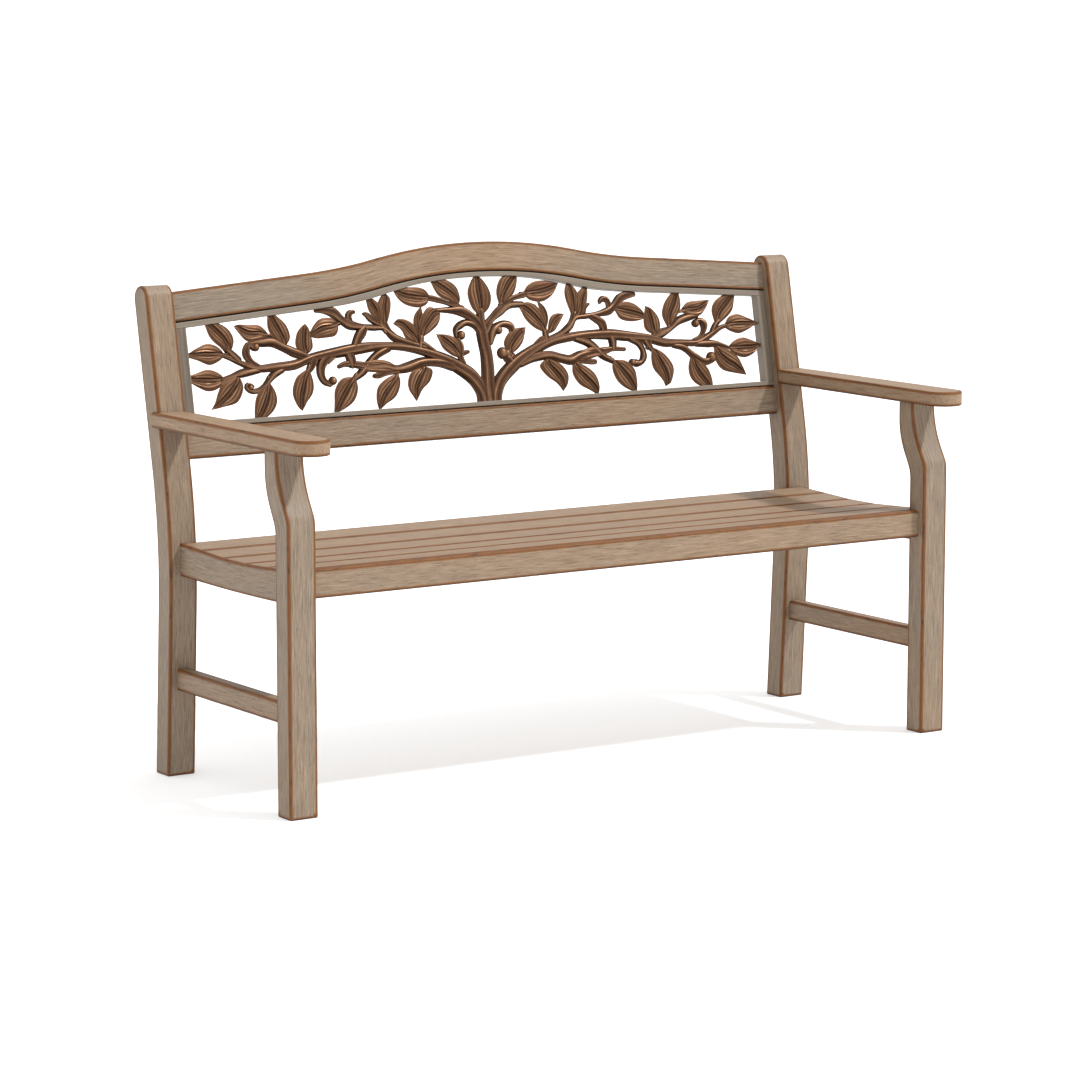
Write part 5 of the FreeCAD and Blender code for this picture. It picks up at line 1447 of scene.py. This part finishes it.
RIGHT_LEAVES = {
    "high_upper": [(45, 276), [(38, 297), (42, 318), (56.4, 335.1)], (93, 344), [(68, 290), (81.8, 302.9),
        (90.5, 323.5)]],
    "high_long": [(103, 299), [(113.9, 313.5), (134.6, 322.4), (165, 322)], (192, 316), [(116.9, 284.7),
        (145.2, 280), (171.7, 291.8)]],
    "high_fan": [(147, 216), [(119.5, 228.5), (101.3, 245.7), (93.9, 261.4)], (89, 275), [(150, 242),
        (138, 266), (112.4, 281.1)]],
    "high_blade": [(149, 218), [(142, 250), (137, 272)], (135, 286), [(157, 245), (152.5, 267.3)]],
    "scroll_leaf": [(56, 177), [(43.5, 198), (53, 217), (72, 229)], (102.6, 231.2), [(73.7, 185.6),
        (89.2, 200), (96.3, 215.9)]],
    "curl_leaf": [(151, 213), [(158.5, 243), (173.7, 254.5)], (199, 253.5), [(168.5, 219.3),
        (182.5, 234.7)]],
    "bough_leaf_1": [(143, 166), [(123.5, 150), (138.1, 128.9), (159.3, 114.3)], (177, 96), [(174, 152.5),
        (190.1, 130.7), (188, 111.8)]],
    "bough_leaf_2": [(206, 157), [(201.5, 131), (215.2, 108.1), (239.3, 94.7)], (262, 82),
        [(232.2, 146.3), (255.6, 128.4), (264.5, 106)]],
    "bough_leaf_3": [(304, 154), [(299.8, 131.8), (309.6, 107.8), (332.9, 90.8)], (357, 84),
        [(335.2, 149.5), (354.8, 130.8), (358.3, 106.1)]],
    "bough_leaf_4": [(404, 176), [(399, 148), (403, 128), (420.5, 107.5)], (430.6, 90.9), [(434.3, 158.3),
        (453.5, 130), (445, 101)]],
    "upper_flat": [(320, 259), [(341, 270.5), (365.3, 268), (385.9, 254.9)], (400, 236), [(331.1, 237),
        (354.8, 229.5), (380.2, 230.4)]],
    "bough_top": [(414, 197), [(391.9, 211.9), (391, 236)], (400.1, 260.7), [(430, 212), (428.9, 233.8),
        (415, 252)]],
    "upper_twin_1": [(217, 243), [(205.6, 269.9), (201.2, 290), (204.5, 306.7)], (214, 317), [(230, 268),
        (235, 289), (226.5, 306)]],
    "upper_twin_2": [(224, 243), [(226, 272), (230, 291), (245, 303.5)], (260, 311), [(244, 252),
        (254.6, 277.3), (259.4, 297.7)]],
    "sprig_long": [(484, 244), [(502.5, 261.2), (528, 264.3), (548, 264.7)], (564.5, 265.3), [(510, 233),
        (533, 233), (549.5, 246)]],
    "sprig_high": [(452, 209), [(438, 235), (443.5, 258.9), (462.4, 280)], (485, 293), [(478, 238),
        (487.8, 257.9)]],
    "tip_high": [(572, 209), [(564.6, 241), (575.1, 261), (598, 273)], (632, 284), [(600.5, 225),
        (618.5, 241), (625.9, 261.9)]],
    "tip_upper": [(592, 207), [(605.8, 226.3), (628.1, 231.6), (652.5, 223.5), (670.5, 216.3)],
        (688, 209), [(605.6, 197.1), (628, 190.8), (652.4, 197.6), (669.8, 204.8)]],
    "tip_lower": [(597, 163), [(611.4, 175.1), (635, 182.4), (658.4, 176)], (686, 165), [(612, 147.5),
        (636, 139.7), (661.5, 147.1)]],
    "tip_low": [(563, 170), [(560, 142), (575.1, 118.5), (605.6, 109.1)], (640, 103), [(598, 158),
        (620, 142), (630, 122.5)]],
    "tendril_leaf": [(502, 156), [(490.4, 129.9), (491.5, 107.8), (507.3, 90.7)], (549, 72), [(533, 131),
        (546.3, 105.3)]],
    "low_bud": [(212, 162), [(234, 178), (265, 181.5), (289, 176)], (308, 171), [(238, 157), (268, 162),
        (288, 165)]],
}


def smoothed(points: Sequence[Sequence[float]], steps: int, span_steps: int = 12) -> np.ndarray:
    """A smooth line through places, evenly divided by length.

    Args:
        points: the places, each with any further values, such as a width.
        steps: how many divisions the line gets.
        span_steps: how finely each span is followed before that.

    Returns:
        One row for each division and one for the end.
    """
    nodes = np.asarray(points, float)
    ends = np.vstack([2.0 * nodes[0] - nodes[1], nodes, 2.0 * nodes[-1] - nodes[-2]])
    share = np.linspace(0.0, 1.0, span_steps, endpoint=False)[:, None]
    rows = []
    for before, start, end, after in zip(ends, ends[1:], ends[2:], ends[3:]):
        rows.append(0.5 * (2.0 * start + (end - before) * share
                           + (2.0 * before - 5.0 * start + 4.0 * end - after) * share ** 2
                           + (3.0 * start - before - 3.0 * end + after) * share ** 3))
    dense = np.vstack(rows + [nodes[-1:]])
    gone = np.concatenate([[0.0], np.cumsum(np.linalg.norm(np.diff(dense[:, :2], axis=0), axis=1))])
    wanted = np.linspace(0.0, gone[-1], steps + 1)
    return np.column_stack([np.interp(wanted, gone, column) for column in dense.T])


def rolled_grid(name: str, rings: np.ndarray, relief: np.ndarray) -> Object:
    """A grid rolled into a closed skin.

    Args:
        name: the piece's name.
        rings: places by ring and by step round the ring, in x, w and n.
        relief: how far each stands out, from 0 in a groove to 1 on a ridge.

    Returns:
        The skin, whose seam and ends close when doubles are merged.
    """
    along, around = rings.shape[:2]
    skin = added(bpy.ops.mesh.primitive_grid_add, name, x_subdivisions=along - 1, y_subdivisions=around,
                 size=1.0)
    flat = points_of(skin)
    ring = np.rint((flat[:, 0] + 0.5) * (along - 1)).astype(int)
    step = np.rint((flat[:, 1] + 0.5) * around).astype(int) % around
    move_points(skin, [back_point(*place) for place in rings[ring, step]])
    store(skin, "relief", relief[ring, step])
    return skin


def hill(away: np.ndarray, reach: float) -> np.ndarray:
    """A round hill, 1 in its middle and nearly gone at twice its reach."""
    return np.exp(-(away / reach) ** 2)


@dataclass(frozen=True)
class LimbForm:
    """A flattened round bar with ridges that wind slowly along it, in millimetres."""

    middle_n: float
    root_w: float = 82.0
    ring_gap: float = 4.0
    least_rings: int = 10
    around: int = 20
    depth_share: float = 0.62
    depth_extra: float = 1.6
    deepest: float = 8.2
    wind: float = 0.022
    groove_share: float = 0.15
    groove_half: float = 6.0
    relief_low: float = 0.12
    relief_rise: float = 0.78

    def skin(self, name: str, points: Sequence[Point], strands: int) -> Object:
        """One limb.

        Args:
            name: its name.
            points: x, w and width along it.
            strands: how many ridges run round it.

        Returns:
            The limb's skin.
        """
        nodes = np.asarray(points, float)
        rooted = nodes[0, 1] <= self.root_w
        if not rooted:
            nodes = np.vstack([self.beyond(nodes[1], nodes[0]), nodes])
        nodes = np.vstack([nodes, self.beyond(nodes[-2], nodes[-1])])
        length = float(np.linalg.norm(np.diff(nodes[:, :2], axis=0), axis=1).sum())
        line = smoothed(nodes, max(self.least_rings, round(length / self.ring_gap)))
        run = np.gradient(line[:, :2], axis=0)
        run /= np.linalg.norm(run, axis=1)[:, None]
        across = np.column_stack([-run[:, 1], run[:, 0]])
        gone = np.linspace(0.0, length, len(line))
        half = line[:, 2] / 2.0
        close = (length - gone) / half[-1]
        if not rooted:
            close = np.minimum(close, gone / half[0])
        close = np.clip(close, 0.0, 1.0)
        half = half * np.sqrt(1.0 - (1.0 - close) ** 2)
        deep = np.minimum(self.depth_share * half + self.depth_extra * close, self.deepest)
        turn = 2.0 * math.pi * np.arange(self.around) / self.around
        wave = 0.5 + 0.5 * np.cos(strands * turn[None, :] + self.wind * gone[:, None] + len(name))
        size = 1.0 - self.groove_share * (1.0 - wave) * np.clip(half / self.groove_half, 0.0, 1.0)[:, None]
        side = half[:, None] * np.cos(turn)[None, :] * size
        front = deep[:, None] * np.sin(turn)[None, :] * size
        rings = np.empty((len(line), self.around, 3))
        rings[:, :, :2] = line[:, None, :2] + across[:, None, :] * side[:, :, None]
        rings[:, :, 2] = self.middle_n - front
        if rooted:
            middle = np.repeat([[*line[0, :2], self.middle_n]], self.around, axis=0)
            rings = np.concatenate([middle[None], rings])
            wave = np.concatenate([wave[:1], wave])
        forward = np.abs(np.sin(turn))[None, :] ** 0.5
        relief = np.clip(self.relief_low + self.relief_rise * wave * forward, 0.0, 1.0)
        return rolled_grid(name, rings, relief)

    @staticmethod
    def beyond(inner: np.ndarray, outer: np.ndarray) -> list[float]:
        """Where a limb's round end closes, half its width past its last place."""
        run = outer[:2] - inner[:2]
        place = outer[:2] + run / np.linalg.norm(run) * outer[2] / 2.0
        return [*place, outer[2]]


@dataclass(frozen=True)
class LeafForm:
    """A leaf of two cupped halves, with a raised midrib, curved veins and a rolled rim, in millimetres.

    Columns and places across a leaf are shares of the way from its midrib at 0 to its rim at 1. The two
    veins of each half lie at vein_columns, which start vein_roots of the way out at the base and stand
    vein_rise further out at the tip.
    """

    middle_n: float
    rings: int = 30
    front: tuple[float, ...] = (0.05, 0.12, 0.2, 0.29, 0.36, 0.43, 0.51, 0.59, 0.66, 0.73, 0.8, 0.88, 0.95,
                                1.0)
    back: tuple[float, ...] = (0.9, 0.68, 0.42, 0.18, 0.06, -0.06, -0.18, -0.42, -0.68, -0.9)
    vein_columns: tuple[float, float] = (0.36, 0.66)
    vein_roots: tuple[float, float] = (0.16, 0.46)
    vein_rise: float = 0.34
    vein_heights: tuple[float, float] = (1.0, 0.8)
    vein_reach: float = 0.075
    full_half: float = 9.0
    least_half: float = 0.01
    body: float = 2.0
    body_least: float = 0.3
    rib_reach: float = 1.3
    groove_out: float = 3.0
    rim_reach: float = 1.5
    middle_lift: float = 1.75
    lean: float = 0.28
    cup: float = 3.6
    cup_drop: float = 1.2
    cup_turn: float = 0.72
    rim_lift: float = 0.8
    arch_run: float = 1.05
    rib_height: float = 1.7
    groove_depth: float = 1.1
    vein_height: float = 1.2
    rim_fade: float = 8.0
    relief_low: float = 0.33
    relief_shares: tuple[float, ...] = (0.55, 0.5, 0.45, 0.15, -0.38)
    inner_stem: tuple[tuple[float, float], ...] = ((0.0, 8.5), (8.0, 8.0), (20.0, 5.0))
    stem_root: float = 6.0

    def stem(self, leaf: Sequence) -> list[Point]:
        """The short stem that carries a leaf and runs into its midrib."""
        base, one_side, _, other_side = (np.array(part, float) for part in leaf)
        along = (one_side[0] + other_side[0]) / 2.0 - base
        along /= np.linalg.norm(along)
        start = base - self.stem_root * along
        return [(*(start + gone * along), width) for gone, width in self.inner_stem]

    def skin(self, name: str, leaf: Sequence, lift: float) -> Object:
        """One leaf.

        Args:
            name: its name.
            leaf: its base, one side, its tip and its other side.
            lift: how far its middle stands forward.

        Returns:
            The leaf's skin.
        """
        base, one_side, tip, other_side = leaf
        one = smoothed([base, *one_side, tip], self.rings)
        other = smoothed([base, *other_side, tip], self.rings)
        share = np.linspace(0.0, 1.0, self.rings + 1)[:, None]
        half = np.linalg.norm(one - other, axis=1)[:, None] / 2.0
        front = [-column for column in reversed(self.front)] + list(self.front)
        columns = np.array(front + list(self.back))
        facing = np.array([1.0] * len(front) + [-1.0] * len(self.back))[None, :]
        steady = np.abs(columns)
        out = np.array([self.bent_out(steady, gone) for gone in share[:, 0]])
        small = np.clip(half / self.full_half, 0.0, 1.0)
        away = out * half
        rounded = np.sqrt(np.clip(1.0 - out ** 6, 0.0, 1.0)) * (half > self.least_half)
        body = (self.body * small ** 0.5 + self.body_least) * rounded
        rib = hill(away, self.rib_reach) * (1.0 - 0.5 * share)
        groove = hill(away - self.groove_out, self.rib_reach)
        rim = hill((1.0 - out) * half, self.rim_reach)
        vein = sum(height * hill(steady - column, self.vein_reach)
                   for column, height in zip(self.vein_columns, self.vein_heights))
        lean = 1.0 + self.lean * (lift - self.middle_lift) * np.sign(columns)
        vein = np.sin(math.pi * share) ** 0.6 * (vein * lean)[None, :]
        inside = np.clip((1.0 - out) * self.rim_fade, 0.0, 1.0)
        detail = self.rib_height * rib - self.groove_depth * groove + self.vein_height * vein
        detail = detail * inside * small
        cushion = np.sin(math.pi * out ** 0.8 * self.cup_turn)
        arch = lift * np.sin(math.pi * np.clip(share * self.arch_run, 0.0, 1.0))
        mean = arch + small * (self.cup * cushion - self.cup_drop) + self.rim_lift * rim * small
        across = (np.sign(columns)[None, :] * out)[:, :, None]
        rings = np.empty((self.rings + 1, len(columns), 3))
        rings[:, :, :2] = (one + other)[:, None, :] / 2.0 + (one - other)[:, None, :] / 2.0 * across
        rings[:, :, 2] = self.middle_n - (mean + facing * (body + detail))
        forms = (rib, vein, rim, cushion, groove)
        relief = self.relief_low + sum(part * form for part, form in zip(self.relief_shares, forms))
        return rolled_grid(name, rings, np.clip(relief, 0.0, 1.0))

    def bent_out(self, columns: np.ndarray, gone: float) -> np.ndarray:
        """How far out each column lies, a share of the way from the base to the tip."""
        veins = [root + self.vein_rise * gone for root in self.vein_roots]
        return np.interp(columns, (0.0, *self.vein_columns, 1.0), (0.0, *veins, 1.0))


@dataclass
class CastTree:
    """The bronze tree: ridged limbs, veined leaves and round scroll ends, in millimetres."""

    middle_n: float = 27.5
    strands: dict[str, int] = field(default_factory=lambda: {"trunk": 6, "bough": 6, "low_bough": 5})
    other_strands: int = 4
    stem_strands: int = 2
    leaf_lift: tuple[float, float] = (0.5, 3.0)
    knob_mesh: tuple[int, int] = (24, 12)
    knob_depth: tuple[float, float, float] = (0.85, 1.5, 9.0)
    knob_relief: tuple[float, float] = (0.25, 0.6)
    merge: float = 2e-5
    smooth_degrees: float = 60.0

    def knob(self, x: float, w: float, radius: float) -> Object:
        """One round scroll end: a flattened ball."""
        segments, rings = self.knob_mesh
        knob = added(bpy.ops.mesh.primitive_uv_sphere_add, "knob", segments=segments, ring_count=rings,
                     radius=1.0)
        ball = points_of(knob)
        share, extra, deepest = self.knob_depth
        deep = min(share * radius + extra, deepest)
        move_points(knob, [back_point(x + radius * across, w + radius * up, self.middle_n - deep * front)
                           for across, up, front in ball])
        least, rise = self.knob_relief
        store(knob, "relief", least + rise * ball[:, 2] ** 2)
        return knob

    def build(self) -> list[Object]:
        """Make the whole casting as one piece."""
        draws = random.Random(SEED)
        limb = LimbForm(self.middle_n)
        leaf = LeafForm(self.middle_n)
        pieces = []
        halves = (("left", LEFT_LIMBS, LEFT_LEAVES), ("right", RIGHT_LIMBS, RIGHT_LEAVES))
        for word, limbs, leaves in halves:
            for name, points in limbs.items():
                strands = self.strands.get(name, self.other_strands)
                pieces.append(limb.skin(f"{name}_{word}", points, strands))
            for name, outline in leaves.items():
                pieces.append(limb.skin(f"{name}_stem_{word}", leaf.stem(outline), self.stem_strands))
                pieces.append(leaf.skin(f"{name}_{word}", outline, draws.uniform(*self.leaf_lift)))
        pieces += [self.knob(*knob) for knob in KNOBS]
        tree = joined(pieces, "tree_casting")
        close_and_smooth(tree, self.merge, self.smooth_degrees)
        return [hand_over(tree, BRONZE, "bronze_casting", "tree_ornament")]


@dataclass
class Studio:
    """The plain white studio: a pale floor, soft light and the camera."""

    eye: Point = (-4.097037, FRONT_Y - 5.835178, 1.503321)
    yaw: float = 0.586503
    pitch: float = 0.146439
    lens_mm: float = 126.56
    sensor_mm: float = 36.0
    farthest: float = 2000.0
    floor_half: float = 300.0
    floor_shades: tuple[float, float] = (0.69, 0.71)
    floor_cloud: Pattern = Pattern((0.4, 0.4, 0.4), 1.0, 0.5)
    floor_roughness: float = 0.9
    floor_glow: float = 0.41
    sky_heights: tuple[float, float] = (-0.1, 0.9)
    sky_strengths: tuple[float, float] = (0.58, 1.20)
    sun_place: Point = (0.60, -0.57, 1.0)
    sun_strength: float = 2.7
    sun_degrees: float = 3.5

    def floor(self) -> Object:
        """The floor, large enough to fill the view."""
        floor = added(bpy.ops.mesh.primitive_plane_add, "studio_floor", size=2.0 * self.floor_half)
        shader = Shader("studio_floor")
        cloud = self.floor_cloud.drawn(shader, shader.add("TexCoord").outputs["Object"])
        colour = shader.mix(cloud, *((shade, shade, shade, 1.0) for shade in self.floor_shades))
        floor.data.materials.append(shader.surface(
            Base_Color=colour, Roughness=self.floor_roughness, Emission_Strength=self.floor_glow,
            Emission_Color=(1.0, 1.0, 1.0, 1.0)))
        return floor

    def sky(self) -> None:
        """An even white surround, brightest overhead."""
        world = bpy.data.worlds.new("studio")
        world.use_nodes = True
        nodes, links = world.node_tree.nodes, world.node_tree.links
        background = nodes["Background"]
        background.inputs["Color"].default_value = (1.0, 1.0, 1.0, 1.0)
        place = nodes.new("ShaderNodeTexCoord")
        split = nodes.new("ShaderNodeSeparateXYZ")
        ramp = nodes.new("ShaderNodeMapRange")
        names = ("From Min", "From Max", "To Min", "To Max")
        for name, value in zip(names, self.sky_heights + self.sky_strengths):
            ramp.inputs[name].default_value = value
        links.new(place.outputs["Generated"], split.inputs[0])
        links.new(split.outputs["Z"], ramp.inputs["Value"])
        links.new(ramp.outputs[0], background.inputs["Strength"])
        bpy.context.scene.world = world

    @staticmethod
    def set_up(name: str, data: ID, place: Vector, forward: Vector) -> Object:
        """Put a light or a camera in its place.

        Args:
            name: its name.
            data: the light or the camera.
            place: where it stands.
            forward: the way it looks.

        Returns:
            Its object.
        """
        thing = bpy.data.objects.new(name, data)
        bpy.context.scene.collection.objects.link(thing)
        turned = forward.to_track_quat("-Z", "Y").to_matrix().to_4x4()
        thing.matrix_world = Matrix.Translation(place) @ turned
        return thing

    def sun(self) -> None:
        """The one light with a direction, wide enough for soft shadows."""
        light = bpy.data.lights.new("key", "SUN")
        light.energy = self.sun_strength
        light.angle = math.radians(self.sun_degrees)
        self.set_up("key", light, Vector(self.sun_place), -Vector(self.sun_place))

    def camera(self) -> None:
        """The camera, where the photograph was taken from."""
        data = bpy.data.cameras.new("camera")
        data.lens = self.lens_mm
        data.sensor_width = self.sensor_mm
        data.sensor_fit = "HORIZONTAL"
        data.clip_end = self.farthest
        level = math.cos(self.pitch)
        forward = Vector((math.sin(self.yaw) * level, math.cos(self.yaw) * level, -math.sin(self.pitch)))
        bpy.context.scene.camera = self.set_up("camera", data, Vector(self.eye), forward)

    def build(self) -> None:
        """Set up the studio."""
        self.floor()
        self.sky()
        self.sun()
        self.camera()
        bpy.context.scene.view_settings.view_transform = "Standard"


def main() -> None:
    """Build the bench sub-assembly by sub-assembly, then the studio round it."""
    logging.basicConfig(level=logging.INFO, format="%(name)s %(message)s")
    rails = BackRails()
    parts = [FrontLegs(), BackPosts(), rails, PanelStrips(rails), Seat(), Stretchers(), Arms(),
             HiddenFixings(), CastTree()]
    for part in parts:
        made = part.build()
        LOG.info("%s: %d pieces", type(part).__name__, len(made))
    Studio().build()


if __name__ == "__main__":
    main()
